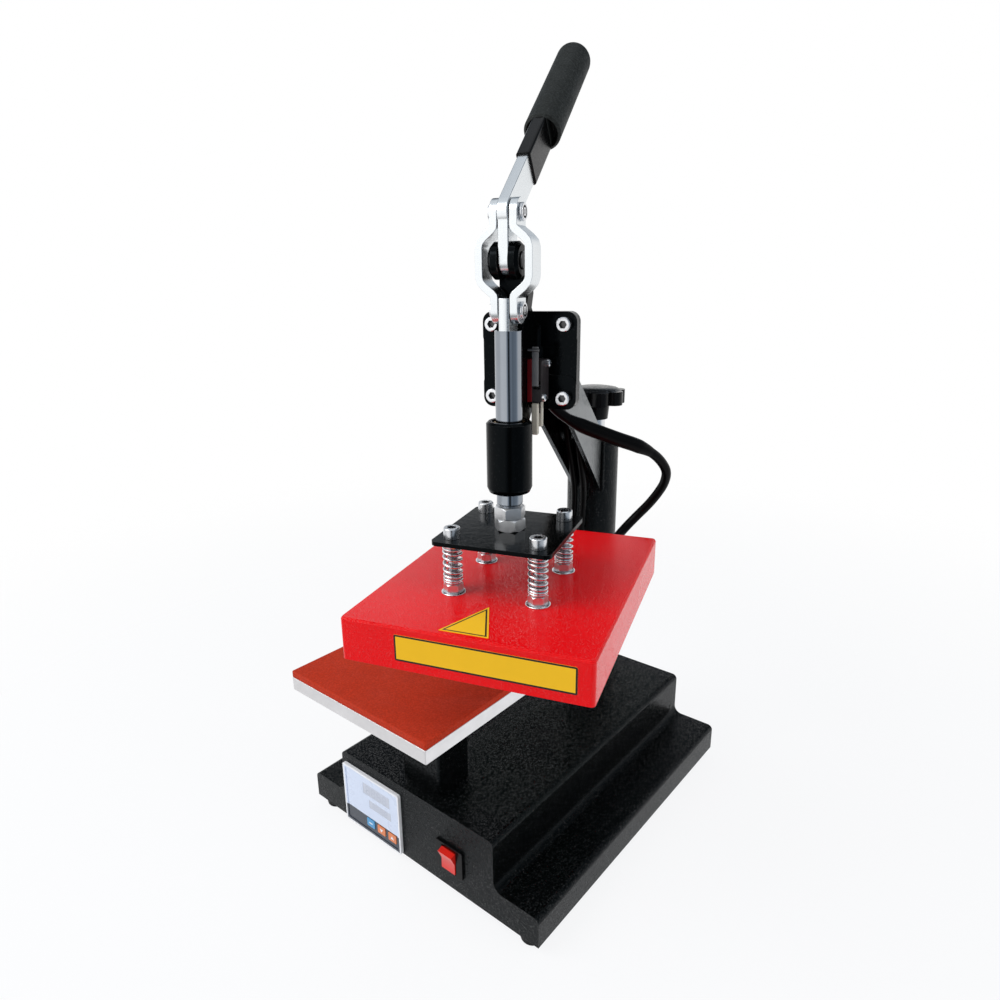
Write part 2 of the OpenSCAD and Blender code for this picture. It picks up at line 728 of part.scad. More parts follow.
// Cast body of the clamp: flange, web, guide barrel and the forked hub that carries the lever
module clamp_bracket() {
    land = 1;
    flange_top = flange_z + flange_h / 2;
    flange_bottom = flange_z - flange_h / 2;
    module outline() {
        polygon([
            [flange_gap, flange_bottom + 4], [flange_gap - 10, flange_bottom + 2], [barrel_r - 3, barrel_top - 16],
            [barrel_r - 5, barrel_top], [web_front, barrel_top], [web_front, fulcrum_z - hub_r - 1],
            [hub_r * 0.72, fulcrum_z - hub_r * 0.69], [0, fulcrum_z + hub_r], [12, fulcrum_z + 6.5],
            [18, fulcrum_z - 2], [neck_back, fulcrum_z - 12], [neck_back + 2, flange_top + 3],
            [flange_gap - 6, flange_top - 6], [flange_gap, flange_top - 10]]);
        translate([0, fulcrum_z]) circle(hub_r);
    }
    module plan() {
        translate([-web_t / 2, 0]) square([web_t, flange_gap + 1]);
        for (sx = [-1, 1]) translate([sx * web_t / 2, flange_gap]) mirror([sx < 0 ? 1 : 0, 0]) difference() {
            translate([-eps, -6]) square([6, 7]);
            translate([6, -6]) circle(6);
        }
    }
    module front() polygon([
        [-hub_half, fulcrum_z + 20], [-hub_half, flange_top + 12], [-web_t / 2, flange_top - 10],
        [web_t / 2, flange_top - 10], [hub_half, flange_top + 12], [hub_half, fulcrum_z + 20]]);
    color("#101113") at_plunger() difference() {
        union() {
            translate([0, flange_gap, flange_z]) stand(flange_t) round_rect(flange_w, flange_h, 7);
            // Raised lands under the screw heads
            for (sz = [-1, 1]) translate([0, flange_gap - land, flange_z + sz * (flange_h - 24) / 2])
                stand(land + eps) round_rect(flange_w, 24, 7);
            intersection() {
                side_on(2 * hub_half) outline();
                union() {
                    translate([0, 0, barrel_bottom]) linear_extrude(flange_top - barrel_bottom) plan();
                    translate([0, -hub_r - 1, 0]) stand(flange_gap + hub_r) front();
                }
            }
            // Drum round the lever's pin
            translate([0, 0, fulcrum_z]) rotate([0, 90, 0]) rotate_extrude() polygon([
                [0, -hub_half], [drum_r - drum_chamfer, -hub_half], [drum_r, drum_chamfer - hub_half],
                [drum_r, hub_half - drum_chamfer], [drum_r - drum_chamfer, hub_half], [0, hub_half]]);
            rotate_extrude() polygon([
                [0, barrel_bottom], [barrel_r - 5, barrel_bottom], [barrel_r - 1.5, barrel_bottom + 1.5],
                [barrel_r, barrel_bottom + 5], [barrel_r, barrel_top - 1.5], [barrel_r - 1.5, barrel_top],
                [0, barrel_top]]);
        }
        translate([0, 0, barrel_bottom - 1]) cylinder(r = plunger_d / 2 + bush_t + run, h = barrel_top - barrel_bottom + 2);
        translate([0, 0, fulcrum_z]) {
            cross_pin(pin_d + 2 * run, 2 * hub_half + 2);
            // Slot for the lever, open to the front
            side_on(lever_t + 0.5) translate([-drum_r - 1, -drum_r - 1])
                square([drum_r + 1 + slot_back, 2 * drum_r + 2]);
        }
        translate([0, flange_gap - land, flange_z]) clamp_screw_holes(flange_t + land, clamp_screw_d + slip);
        switch_places() rotate([0, 90, 0]) translate([0, 0, -web_t]) cylinder(d = switch_screw_d + slip, h = web_t + 1);
    }
}

module clamp_screws() color("silver") {
    at_plunger() for (sx = [-1, 1], sz = [-1, 1])
        translate([sx * clamp_pitch_x / 2, flange_gap - 1, flange_z + sz * clamp_pitch_z / 2]) rotate([90, 0, 0])
            socket_screw(clamp_screw_d, flange_t + 1 + mount_t + 1, 10, 6);
}

module guide_bush() color("#b58a46") {
    at_plunger() translate([0, 0, barrel_bottom + 1]) difference() {
        cylinder(r = plunger_d / 2 + bush_t, h = barrel_top - barrel_bottom - 2);
        translate([0, 0, -1]) cylinder(d = plunger_d + 2 * run, h = barrel_top - barrel_bottom);
    }
}

// Pin along x with a flat round head at each end
module headed_pin(d, grip_length) {
    cross_pin(d, grip_length + 2 * eps);
    for (sx = [-1, 1]) translate([sx * (grip_length + pin_head_t) / 2, 0, 0]) difference() {
        cross_pin(pin_head_d, pin_head_t);
        translate([sx * pin_head_t / 2, 0, 0]) rotate([0, 90, 0]) cylinder(d = d * 0.5, h = pin_head_t, center = true);
    }
}

module fulcrum_pin() color("#2a2b2d") {
    at_plunger() translate([0, 0, fulcrum_z]) {
        cross_pin(pin_d, 2 * hub_half + 2 * eps);
        for (sx = [-1, 1]) translate([sx * (hub_half + 0.5), 0, 0]) cross_pin(pin_head_d, 1);
    }
}

// The two screws of the limit switch, on the right face of the web
module switch_places() {
    for (s = [-1, 1]) translate([web_t / 2, switch_y + s * 5, switch_z + s * switch_pitch / 2]) children();
}

module limit_switch() color("#1a1a1b") {
    x0 = web_t / 2;
    tag_l = 9;
    at_plunger() {
        difference() {
            union() {
                translate([x0, switch_front, switch_z - switch_h / 2]) cube([switch_w, switch_d, switch_h]);
                // Button under the leaf
                translate([leaf_x, switch_front - 1.2, button_z]) stand(2) circle(d = 2.6);
            }
            switch_places() rotate([0, 90, 0]) translate([0, 0, -1]) cylinder(d = switch_screw_d + slip, h = switch_w + 2);
            translate([leaf_x - leaf_w / 2 - 0.4, switch_front - 1, switch_axis_z - 3]) cube([leaf_w + 0.8, 5.5, 6]);
            translate([leaf_x, switch_front + 2, switch_axis_z]) cross_pin(2 + 2 * run, leaf_pin_l + 2 * run);
        }
        // Solder tags below the body
        for (i = [0:2]) translate([x0 + switch_w / 2 - 2, switch_y - 6 + i * 5, switch_z - switch_h / 2 - tag_l])
            cube([4, 0.8, tag_l + eps]);
    }
}

module switch_screws() color("silver") {
    at_plunger() switch_places() translate([switch_w, 0, 0]) rotate([0, 90, 0])
        socket_screw(switch_screw_d, switch_w + web_t - 1, switch_screw_d * 1.8, 2.4);
}

// Leaf of the limit switch, with a pin across its upper end
module switch_lever() color("#c9ccd0") {
    front = -2 - leaf_gap - leaf_t;
    at_plunger() translate([leaf_x, switch_front + 2, switch_axis_z]) {
        cross_pin(2, leaf_pin_l);
        translate([-leaf_w / 2, front, -0.4]) cube([leaf_w, -front, 0.8]);
        translate([-leaf_w / 2, front, -0.4]) cube([leaf_w, leaf_t, leaf_l]);
        translate([-1, front - 0.6, leaf_l - 2.5]) cross_pin(1.8, leaf_w + 3.4);
    }
}

module knob_stud() color("silver") {
    translate([0, post_y, 0]) {
        translate([0, 0, pivot_top - stud_grip]) cylinder(d = stud_d, h = knob_z - pivot_top + stud_grip);
        translate([0, 0, post_top + seat]) cylinder(d = collar_d, h = collar_h);
    }
}

module clamp_knob() color("#121212") {
    lobe_r = knob_d * 0.15;
    mid_r = knob_d / 2 - lobe_r;
    translate([0, post_y, knob_z]) difference() {
        union() {
            linear_extrude(knob_h) {
                circle(mid_r * 0.98);
                for (i = [0:knob_lobes - 1]) rotate(i * 360 / knob_lobes) translate([mid_r, 0]) circle(lobe_r);
            }
            // Low crown on the upper face
            translate([0, 0, knob_h - eps]) rotate_extrude() polygon([
                [0, 0], [knob_d / 2 - 4, 0], [knob_d / 2 - 8, 2], [knob_d / 4, 3.2], [2, 3.6], [0, 3.6]]);
            translate([0, 0, -knob_hub_h]) cylinder(d1 = knob_hub_d - 3, d2 = knob_hub_d, h = knob_hub_h + eps);
        }
        translate([0, 0, -knob_hub_h - 1]) cylinder(d = stud_d + 2 * run, h = knob_hub_h + 1 + seat);
    }
}

// The lever's own axes: origin at the fulcrum, as raised
module at_fulcrum() {
    at_plunger() translate([0, 0, fulcrum_z]) children();
}

// The straight arm of the lever, from the crank pin up
module along_lever() {
    at_fulcrum() translate([0, 0, crank_r]) rotate([-lever_lean, 0, 0]) children();
}

module lever_bar() color("#d5d8da") {
    low = link_w / 2;
    at_fulcrum() difference() {
        side_on(lever_t) {
            circle(low);
            translate([-low, 0]) square([2 * low, crank_r]);
            translate([0, crank_r]) {
                circle(lever_w / 2);
                rotate(-lever_lean) translate([-lever_w / 2, 0]) square([lever_w, lever_l - 20]);
            }
        }
        cross_pin(pin_d + 2 * run, lever_t + 2);
        translate([0, 0, crank_r]) cross_pin(pin_d + 2 * run, lever_t + 2);
    }
}

module lever_sheath() color("#17181a") {
    start = sheath_start;
    long = lever_l - grip_l - start - 2 * seat;
    along_lever() translate([0, 0, start]) difference() {
        linear_extrude(long) round_rect(lever_t + 2 * sheath_t, lever_w + 2 * sheath_t, 2);
        translate([0, 0, -1]) linear_extrude(long + 2) square([lever_t + 2 * run, lever_w + 2 * run], center = true);
    }
}

module lever_grip() color("#222325") {
    r = grip_d / 2;
    along_lever() translate([0, 0, lever_l - grip_l]) difference() {
        rotate_extrude() polygon(concat(
            [[0, 0], [r - 1.5, 0], [r, 1.5], [r, grip_l - 5]],
            [for (a = [15:15:90]) [r - 5 + 5 * cos(a), grip_l - 5 + 5 * sin(a)]],
            [[0, grip_l]]));
        translate([0, 0, -1]) linear_extrude(grip_l - 18) square([lever_t + 2 * run, lever_w + 2 * run], center = true);
        // The lower end is hollow on both sides of the bar
        translate([0, 0, -1]) linear_extrude(hollow_l + 1) difference() {
            circle(r - hollow_wall);
            square([lever_t + 2 * sheath_t + slip, grip_d], center = true);
        }
    }
}

module crank_pin() color("#c4c7ca") {
    at_fulcrum() translate([0, 0, crank_r]) headed_pin(pin_d, 2 * (link_in + link_t + seat));
}

// Distance from the middle of the toggle to the inner face of a link, at a height below the crank pin
function smooth(t) = t * t * (3 - 2 * t);
function flare(down) =
    let (edge = min(down, link_l - down))
    edge <= flare_near ? 0 : edge >= flare_far ? 1 : smooth((edge - flare_near) / (flare_far - flare_near));
function link_inner(down) = link_in + (link_wide - link_in) * flare(down);

// Strip bent out round the hub, with round ends
module link() {
    reach = link_w / 2;
    steps = 36;
    first = -reach - 1;
    last = link_l + reach + 1;
    inner = [for (i = [0:steps]) let (d = first + (last - first) * i / steps) [link_inner(d), -d]];
    outer = [for (i = [0:steps])
        let (a = inner[max(i - 1, 0)], b = inner[min(i + 1, steps)], t = (b - a) / norm(b - a))
        inner[i] + link_t * [-t[1], t[0]]];
    difference() {
        intersection() {
            translate([0, -reach - 1, 0]) stand(link_w + 2)
                polygon(concat(inner, [for (i = [steps:-1:0]) outer[i]]));
            side_on(80) {
                circle(reach);
                translate([-reach, -link_l]) square([link_w, link_l]);
                translate([0, -link_l]) circle(reach);
            }
        }
        for (z = [0, -link_l]) translate([0, 0, z]) cross_pin(pin_d + 2 * run, 60);
    }
}

module link_right() color("#cfd2d5") {
    at_plunger() translate([0, 0, crank_z]) link();
}

module link_left() color("#cfd2d5") {
    at_plunger() translate([0, 0, crank_z]) mirror([1, 0, 0]) link();
}

// Pin ends at the foot of the links: they stop short of the tongue, where the linkage is open
module link_rivets() color("#c4c7ca") {
    at_plunger() translate([0, 0, tongue_z]) for (sx = [-1, 1]) {
        translate([sx * (link_in + link_t / 2), 0, 0]) cross_pin(pin_d, link_t + eps);
        translate([sx * (link_in + link_t + pin_head_t / 2), 0, 0]) difference() {
            cross_pin(pin_head_d, pin_head_t);
            translate([sx * pin_head_t / 2, 0, 0]) cross_pin(pin_d * 0.5, pin_head_t);
        }
    }
}

module plunger() color("#c6c9cc") {
    at_plunger() difference() {
        union() {
            translate([0, 0, plate_bottom - lock_nut_h - 2])
                cylinder(d = stem_d, h = spring_plate_t + 3 * lock_nut_h + 3 + eps);
            translate([0, 0, spring_plate_z + 2 * lock_nut_h + 1]) cylinder(d1 = plunger_d - 2, d2 = plunger_d, h = 1);
            translate([0, 0, spring_plate_z + 2 * lock_nut_h + 2])
                cylinder(d = plunger_d, h = shoulder_z - spring_plate_z - 2 * lock_nut_h - 2);
            // Flat tongue between the links
            intersection() {
                translate([0, 0, shoulder_z - 2]) cylinder(d = plunger_d, h = tongue_top - shoulder_z + 2);
                translate([-lever_t / 2, -plunger_d / 2, shoulder_z - 3]) cube([lever_t, plunger_d, 40]);
            }
        }
        translate([0, 0, tongue_z]) cross_pin(pin_d + 2 * run, lever_t + 2);
    }
}

module tongue_pin() color("#8f9397") {
    at_plunger() translate([0, 0, tongue_z]) cross_pin(pin_d, lever_t - 0.1);
}

module lock_nuts() color("#d0d3d6") {
    at_plunger() {
        translate([0, 0, spring_plate_z]) rotate(8) hex_nut(lock_nut_af, lock_nut_h, stem_d + 2 * run);
        translate([0, 0, spring_plate_z + lock_nut_h]) rotate(34) hex_nut(lock_nut_af, lock_nut_h, stem_d + 2 * run);
        translate([0, 0, plate_bottom - lock_nut_h]) hex_nut(lock_nut_af, lock_nut_h, stem_d + 2 * run);
    }
}

module spring_plate() color("#121315") {
    at_plunger() translate([0, 0, plate_bottom]) difference() {
        linear_extrude(spring_plate_t) round_rect(spring_plate_w, spring_plate_w, 5);
        translate([0, 0, -1]) cylinder(d = stem_d + slip, h = spring_plate_t + 2);
        four(bolt_pitch, bolt_pitch) translate([0, 0, -1]) cylinder(d = bolt_d + 2 * slip, h = spring_plate_t + 2);
    }
}

module guide_bolts() color("#d3d6d8") {
    at_plunger() translate([0, 0, spring_plate_z + seat]) four(bolt_pitch, bolt_pitch)
        socket_screw(bolt_d, spring_plate_z + seat - heat_top + 8, 11.5, 7.5);
}

module flange_washers() color("#cfd2d4") {
    at_plunger() translate([0, 0, cover_top]) four(bolt_pitch, bolt_pitch) difference() {
        rotate_extrude() polygon([
            [0, 0], [flange_washer_d / 2, 0], [flange_washer_d / 2, 0.8], [nut_af / 2 + 1, flange_washer_t], [0, flange_washer_t]]);
        translate([0, 0, -1]) cylinder(d = bolt_d + slip, h = 4);
    }
}

module cover_nuts() color("#cfd2d4") {
    at_plunger() translate([0, 0, cover_top + flange_washer_t]) four(bolt_pitch, bolt_pitch)
        rotate(20) hex_nut(nut_af, nut_h, bolt_d + slip);
}

// Closed tube swept along points, with one ring of corners at each point
function unit(v) = v / norm(v);
function tangents(p) = [for (i = [0:len(p) - 1]) unit(p[min(i + 1, len(p) - 1)] - p[max(i - 1, 0)])];
function normals(t, n0) = [for (i = 0, n = unit(n0 - (n0 * t[0]) * t[0]); i < len(t);
    i = i + 1, n = i < len(t) ? unit(n - (n * t[i]) * t[i]) : n) n];

module tube(path, d, sides, up) {
    t = tangents(path);
    n = normals(t, up);
    last = len(path) - 1;
    rings = [for (i = [0:last], k = [0:sides - 1])
        let (b = cross(t[i], n[i]), a = 360 * k / sides) path[i] + d / 2 * (cos(a) * n[i] + sin(a) * b)];
    around = [for (i = [0:last - 1], k = [0:sides - 1])
        let (k2 = (k + 1) % sides, a = i * sides + k, b = i * sides + k2, c = a + sides, e = b + sides)
        each [[a, c, b], [b, c, e]]];
    near = [for (k = [1:sides - 2]) [0, k, k + 1]];
    far = [for (k = [1:sides - 2]) [last * sides, last * sides + k + 1, last * sides + k]];
    polyhedron(points = rings, faces = concat(around, near, far));
}

// Spring wire: the first and last turns lie close, the others share the height between them
spring_height = plate_bottom - spring_bottom - wire_d - 2 * slip;
end_rise = wire_d + 0.6;
function spring_rise(turn) =
    turn <= 1 ? end_rise * turn :
    turn >= spring_turns - 1 ? spring_height - end_rise * (spring_turns - turn) :
    end_rise + (spring_height - 2 * end_rise) * (turn - 1) / (spring_turns - 2);
rings_per_turn = 8;
spring_r = (spring_d - wire_d) / 2;
spring_path = [for (i = [0:spring_turns * rings_per_turn]) let (turn = i / rings_per_turn)
    [spring_r * cos(360 * turn), spring_r * sin(360 * turn), spring_rise(turn)]];
// Least gap between one turn and the next, from the wire's middle points
spring_gap = min([for (i = [0:(spring_turns - 1) * rings_per_turn])
    norm(spring_path[i + rings_per_turn] - spring_path[i]) - wire_d]);
echo(spring_gap = spring_gap);

module pressure_springs() color("#d7dadc") {
    at_plunger() translate([0, 0, spring_bottom + slip + wire_d / 2]) four(bolt_pitch, bolt_pitch)
        tube(spring_path, wire_d, 6, [0, 0, 1]);
}

module at_cover() {
    at_plunger() translate([0, cover_mid, 0]) children();
}

module heater_cover() color("#d8141c") {
    at_cover() difference() {
        union() {
            translate([0, 0, cover_bottom]) linear_extrude(cover_h - 1.5) round_rect(cover_w, cover_d, 3);
            translate([0, 0, cover_top - 1.5]) linear_extrude(0.75) round_rect(cover_w - 0.7, cover_d - 0.7, 2.8);
            translate([0, 0, cover_top - 0.75]) linear_extrude(0.75) round_rect(cover_w - 2, cover_d - 2, 2.2);
        }
        translate([0, 0, cover_bottom - 1]) linear_extrude(cover_h - cover_t + 1)
            round_rect(cover_w - 2 * cover_t, cover_d - 2 * cover_t, 2);
        translate([0, -cover_mid, cover_top - cover_t - 1]) four(bolt_pitch, bolt_pitch)
            cylinder(d = bolt_d + slip, h = cover_t + 2);
        translate([gland_x, cover_d / 2 - cover_t - 1, gland_z]) stand(cover_t + 2) circle(d = 12 + slip);
    }
}

module insulation() color("#e8e2d0") {
    height = cover_top - cover_t - heat_top - element_d - slip;
    at_plunger() translate([0, 0, heat_top + element_d + slip / 2]) difference() {
        linear_extrude(height) square([heat_w, heat_w], center = true);
        four(bolt_pitch, bolt_pitch) translate([0, 0, -1]) cylinder(d = bolt_d + 2, h = height + 2);
    }
}

// Tubular element lying on the heating plate in one hairpin
module heating_element() color("#8d8a86") {
    arm_x = heat_w * 0.36;
    at_plunger() translate([0, 0, heat_top + element_d / 2]) {
        for (sx = [-1, 1]) translate([sx * arm_x, -heat_w * 0.08, 0]) rotate([-90, 0, 0])
            cylinder(d = element_d, h = heat_w * 0.53);
        translate([0, -heat_w * 0.08, 0]) rotate([0, 0, 180]) rotate_extrude(angle = 180)
            translate([arm_x, 0]) circle(d = element_d);
    }
}

module heating_plate() color("#b9bcc0") {
    at_plunger() translate([0, 0, heat_bottom]) difference() {
        linear_extrude(heat_t) round_rect(heat_w, heat_w, 2);
        four(bolt_pitch, bolt_pitch) translate([0, 0, heat_t - 9]) cylinder(d = bolt_d + 2 * run, h = 10);
        translate([0, heat_w / 2 - 22, heat_t / 2]) rotate([-90, 0, 0]) cylinder(d = 5 + 2 * run, h = 23);
    }
}

module temperature_probe() color("#c2c5c8") {
    at_plunger() translate([0, heat_w / 2 - 21, heat_bottom + heat_t / 2]) rotate([-90, 0, 0]) {
        cylinder(d = 5, h = 30);
        translate([0, 0, 21]) hex(9, 5);
    }
}

module cable_gland() color("#141414") {
    at_cover() translate([gland_x, cover_d / 2, gland_z]) rotate([-90, 0, 0]) difference() {
        union() {
            translate([0, 0, -cover_t - 6]) cylinder(d = 12, h = cover_t + 7);
            hex(16, 5);
            translate([0, 0, 5 - eps]) cylinder(d1 = 14, d2 = 10, h = 13);
        }
        translate([0, 0, -cover_t - 7]) cylinder(d = heater_cable_d + slip, h = 40);
    }
}

module heater_cable() color("#141414") {
    at_plunger() tube(heater_cable_path, heater_cable_d, 10, [0, 0, 1]);
}

module post_leads() color("#141414") {
    for (i = [0, 1]) in_head() tube([for (p = lead_path) p + i * lead_shift], lead_d, 8, [1, 0, 0]);
}

base_shell();
base_floor();
rubber_feet();
foot_screws();
power_inlet();
solid_state_relay();
terminal_block();
lead_grommet();
controller_case();
controller_face();
display_windows();
key_set();
key_down();
key_up();
rocker_frame();
rocker_cap();
pedestal();
pedestal_bolts();
lower_platen();
platen_screws();
silicone_pad();
pivot_shaft();
pivot_screws();
thrust_washer();
swing_post();
post_bushes();
arm_channel();
mounting_plate();
clamp_bracket();
clamp_screws();
guide_bush();
fulcrum_pin();
limit_switch();
switch_screws();
switch_lever();
knob_stud();
clamp_knob();
lever_bar();
lever_sheath();
lever_grip();
crank_pin();
link_left();
link_right();
link_rivets();
plunger();
tongue_pin();
lock_nuts();
spring_plate();
guide_bolts();
flange_washers();
cover_nuts();
pressure_springs();
heater_cover();
insulation();
heating_element();
heating_plate();
temperature_probe();
cable_gland();
heater_cable();
post_leads();
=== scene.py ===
"""Looks of a table-top logo heat press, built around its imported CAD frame."""

import json
import math
from functools import cache

import bmesh
import bpy
from bpy.props import FloatProperty, FloatVectorProperty, IntProperty, PointerProperty
from mathutils import Matrix, Vector
from mathutils.bvhtree import BVHTree


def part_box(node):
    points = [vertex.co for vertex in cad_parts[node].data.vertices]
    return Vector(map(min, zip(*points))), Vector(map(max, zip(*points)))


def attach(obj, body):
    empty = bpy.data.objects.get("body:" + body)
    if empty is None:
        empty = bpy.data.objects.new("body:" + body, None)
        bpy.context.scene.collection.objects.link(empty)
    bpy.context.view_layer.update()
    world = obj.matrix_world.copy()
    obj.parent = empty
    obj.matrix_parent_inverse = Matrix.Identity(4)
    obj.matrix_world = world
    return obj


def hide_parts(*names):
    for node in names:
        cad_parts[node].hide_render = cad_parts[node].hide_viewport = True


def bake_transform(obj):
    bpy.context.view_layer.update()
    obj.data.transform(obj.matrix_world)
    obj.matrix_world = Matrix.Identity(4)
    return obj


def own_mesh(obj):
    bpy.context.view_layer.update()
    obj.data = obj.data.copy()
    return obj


bl_info = {
    "name": "Logo heat press",
    "version": (1, 0, 0),
    "blender": (4, 5, 0),
    "location": "3D View > Sidebar > Heat press",
    "description": "Dresses the packed heat press with finishes and small details",
    "category": "Object",
}

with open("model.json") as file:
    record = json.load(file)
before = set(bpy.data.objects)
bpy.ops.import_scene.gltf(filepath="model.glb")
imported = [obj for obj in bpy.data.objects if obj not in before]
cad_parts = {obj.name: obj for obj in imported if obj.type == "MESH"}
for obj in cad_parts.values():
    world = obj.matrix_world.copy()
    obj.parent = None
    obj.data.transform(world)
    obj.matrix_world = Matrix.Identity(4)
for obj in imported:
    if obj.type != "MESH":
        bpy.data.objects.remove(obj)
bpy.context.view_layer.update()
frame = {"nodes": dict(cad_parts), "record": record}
SLOT_OF = {row["node"]: row["material_slot"] for row in frame["record"]["subparts"]}
BODY_OF = {node: body for body, nodes in frame["record"]["behaviour"]["bodies"].items() for node in nodes}

# Names of the finishes, apart from the plain materials that come with the frame
FINISH_NAME = "press %s"

# Places from the part's source, in metres
POST_Y = 0.1155
HEAD_TURN = math.radians(18.7)
ARM_REACH = 0.2425
HEAD = Matrix.Translation((0, POST_Y, 0)) @ Matrix.Rotation(HEAD_TURN, 4, "Z")
PLUNGER = HEAD @ Matrix.Translation((0, -ARM_REACH, 0))

# Steps of a smooth curve between two route points
ROUTE_STEPS = 6

# Points of a CAD mesh closer than this are one, and faces that turn less than this are one flat face
MERGE_REACH = 0.000002
FLAT_ANGLE = math.radians(0.4)

# Least angle between two faces whose edge is rounded
SHARP_ANGLE = math.radians(30)

# Stands a plate that is drawn on the XY plane upright, facing the front
UPRIGHT = Matrix.Rotation(math.radians(90), 4, "X")


def tint(name, description, default):
    """A colour that a user can change."""
    return FloatVectorProperty(
        name=name, description=description, subtype="COLOR", min=0, max=1, default=default)


def measure(name, description, low, high, default):
    """A length in metres that a user can change."""
    return FloatProperty(
        name=name, description=description, subtype="DISTANCE", min=low, max=high, default=default)


class PressFinishes(bpy.types.PropertyGroup):
    """Colours of the press's finishes"""

    black_powder: tint("Black powder coat", "Base, post and arm", (0.0011, 0.0015, 0.0014))
    dark_sheet: tint("Dark sheet", "Floor of the base", (0.02, 0.02, 0.022))
    black_gloss: tint("Black gloss", "Cast clamp body and spring plate", (0.0011, 0.0014, 0.0015))
    black_sheen: tint("Black sheen", "Tint of the reflections in the black coats", (0.74, 0.89, 1.0))
    black_plastic: tint("Black plastic", "Knob, switch frame and gland", (0.0035, 0.0036, 0.004))
    grip_foam: tint("Grip foam", "Sleeve of the hand lever", (0.030, 0.034, 0.033))
    rubber: tint("Rubber", "Feet and grommet", (0.012, 0.012, 0.012))
    cable: tint("Cable sheath", "Heater cable and leads", (0.0028, 0.0029, 0.0032))
    zinc: tint("Zinc plating", "Screws, nuts and springs", (0.74, 0.75, 0.77))
    plated_steel: tint("Plated steel", "Lever, links and the plunger's tongue", (0.76, 0.79, 0.81))
    # Painted shade: the round part of the plunger gets a much darker steel than its tongue
    ground_steel: tint("Ground steel", "Round part of the plunger", (0.30, 0.325, 0.36))
    dark_steel: tint("Dark steel", "Pins and pivot shaft", (0.16, 0.16, 0.165))
    bronze: tint("Bronze", "Bushes and thrust washer", (0.50, 0.33, 0.13))
    aluminium: tint("Aluminium", "Lower platen and heating plate", (0.90, 0.89, 0.90))
    silicone: tint("Silicone sponge", "Pad on the lower platen", (0.58, 0.040, 0.011))
    red_paint: tint("Red paint", "Heater cover", (0.88, 0.002, 0.005))
    fibre: tint("Glass fibre", "Insulation in the heater", (0.72, 0.66, 0.52))
    white_plastic: tint("White plastic", "Controller frame and relay", (0.90, 0.91, 0.94))
    panel_face: tint("Panel film", "Face of the controller", (0.70, 0.78, 0.95))
    panel_window: tint("Panel windows", "Unlit displays of the controller", (0.60, 0.64, 0.74))
    unlit_bars: tint("Unlit bars", "Bars of the digits in the displays", (0.46, 0.50, 0.60))
    panel_strip: tint("Panel strip", "Dark strip round the controller keys", (0.045, 0.055, 0.075))
    blue_key: tint("Blue key", "Left key of the controller", (0.08, 0.34, 0.64))
    orange_key: tint("Orange key", "Two right keys of the controller", (0.80, 0.24, 0.085))
    red_rocker: tint("Red rocker", "Cap of the power switch", (0.82, 0.02, 0.012))
    switch_case: tint("Switch case", "Black half of the limit switch", (0.022, 0.019, 0.021))
    switch_red: tint("Switch half", "Red half of the limit switch", (0.16, 0.006, 0.01))
    tag_sleeve: tint("Tag sleeves", "Sleeves on the limit switch's tags", (0.52, 0.50, 0.43))
    # Painted shade: the near-black rings and slots on the cross pins' ends stand for the shade in their
    # groove and slot
    pin_grime: tint("Pin grime", "Dirt in the grooves of the cross pins' ends", (0.008, 0.008, 0.009))
    plate_yellow: tint("Plain plates", "Blank yellow plates on the cover", (0.95, 0.55, 0.028))
    plate_border: tint("Plate borders", "Dark line round the blank plates", (0.01, 0.009, 0.008))


class PressSizes(bpy.types.PropertyGroup):
    """Sizes of the details that the scene adds"""

    edge_round: measure("Edge rounding", "Width of the rounding on small metal edges", 0.0001, 0.002, 0.0004)
    cable_sides: IntProperty(
        name="Cable sides", description="Flat sides round a cable", min=8, max=32, default=18)
    spring_turns: IntProperty(
        name="Spring turns", description="Turns of a pressure spring, with its closed ends",
        min=6, max=12, default=9)
    spring_wire: measure("Spring wire", "Wire diameter of a pressure spring", 0.001, 0.003, 0.0023)
    spring_width: measure("Spring width", "Outside diameter of a pressure spring", 0.01, 0.02, 0.0138)
    spring_pitch: measure("Spring pitch", "Distance between two pressure springs", 0.05, 0.07, 0.061)
    bead_length: measure("Weld ripple", "Distance between two ripples of a weld", 0.001, 0.005, 0.0021)
    weld_radius: measure("Weld radius", "Radius of the weld beads on the post", 0.001, 0.004, 0.0023)
    digit_bar: FloatProperty(
        name="Digit bar", description="Width of a display bar as a share of the digit's height",
        subtype="FACTOR", min=0.05, max=0.3, default=0.13)


class PressStage(bpy.types.PropertyGroup):
    """Floor and light round the press"""

    key_level: FloatProperty(
        name="Key lamp", description="Strength of the large lamp overhead", unit="POWER",
        min=0, max=100, default=11.0)
    fill_level: FloatProperty(
        name="Fill lamp", description="Strength of the lamp at the right", unit="POWER",
        min=0, max=100, default=5.0)
    room_level: FloatProperty(
        name="Room light", description="Strength of the light from all round", min=0, max=2, default=0.55)
    floor_colour: tint("Floor", "Colour of the floor", (0.92, 0.925, 0.94))


# Node tree helpers


def add(tree, kind, inputs=None, **settings):
    """A node with its settings, and its inputs set to values or joined to sockets."""
    node = tree.nodes.new(kind)
    for key, value in settings.items():
        setattr(node, key, value)
    for key, value in (inputs or {}).items():
        if isinstance(value, bpy.types.NodeSocket):
            tree.links.new(value, node.inputs[key])
        else:
            node.inputs[key].default_value = value
    return node


def put(tree, kind, inputs=None, **settings):
    """The first output of a new node."""
    return add(tree, kind, inputs, **settings).outputs[0]


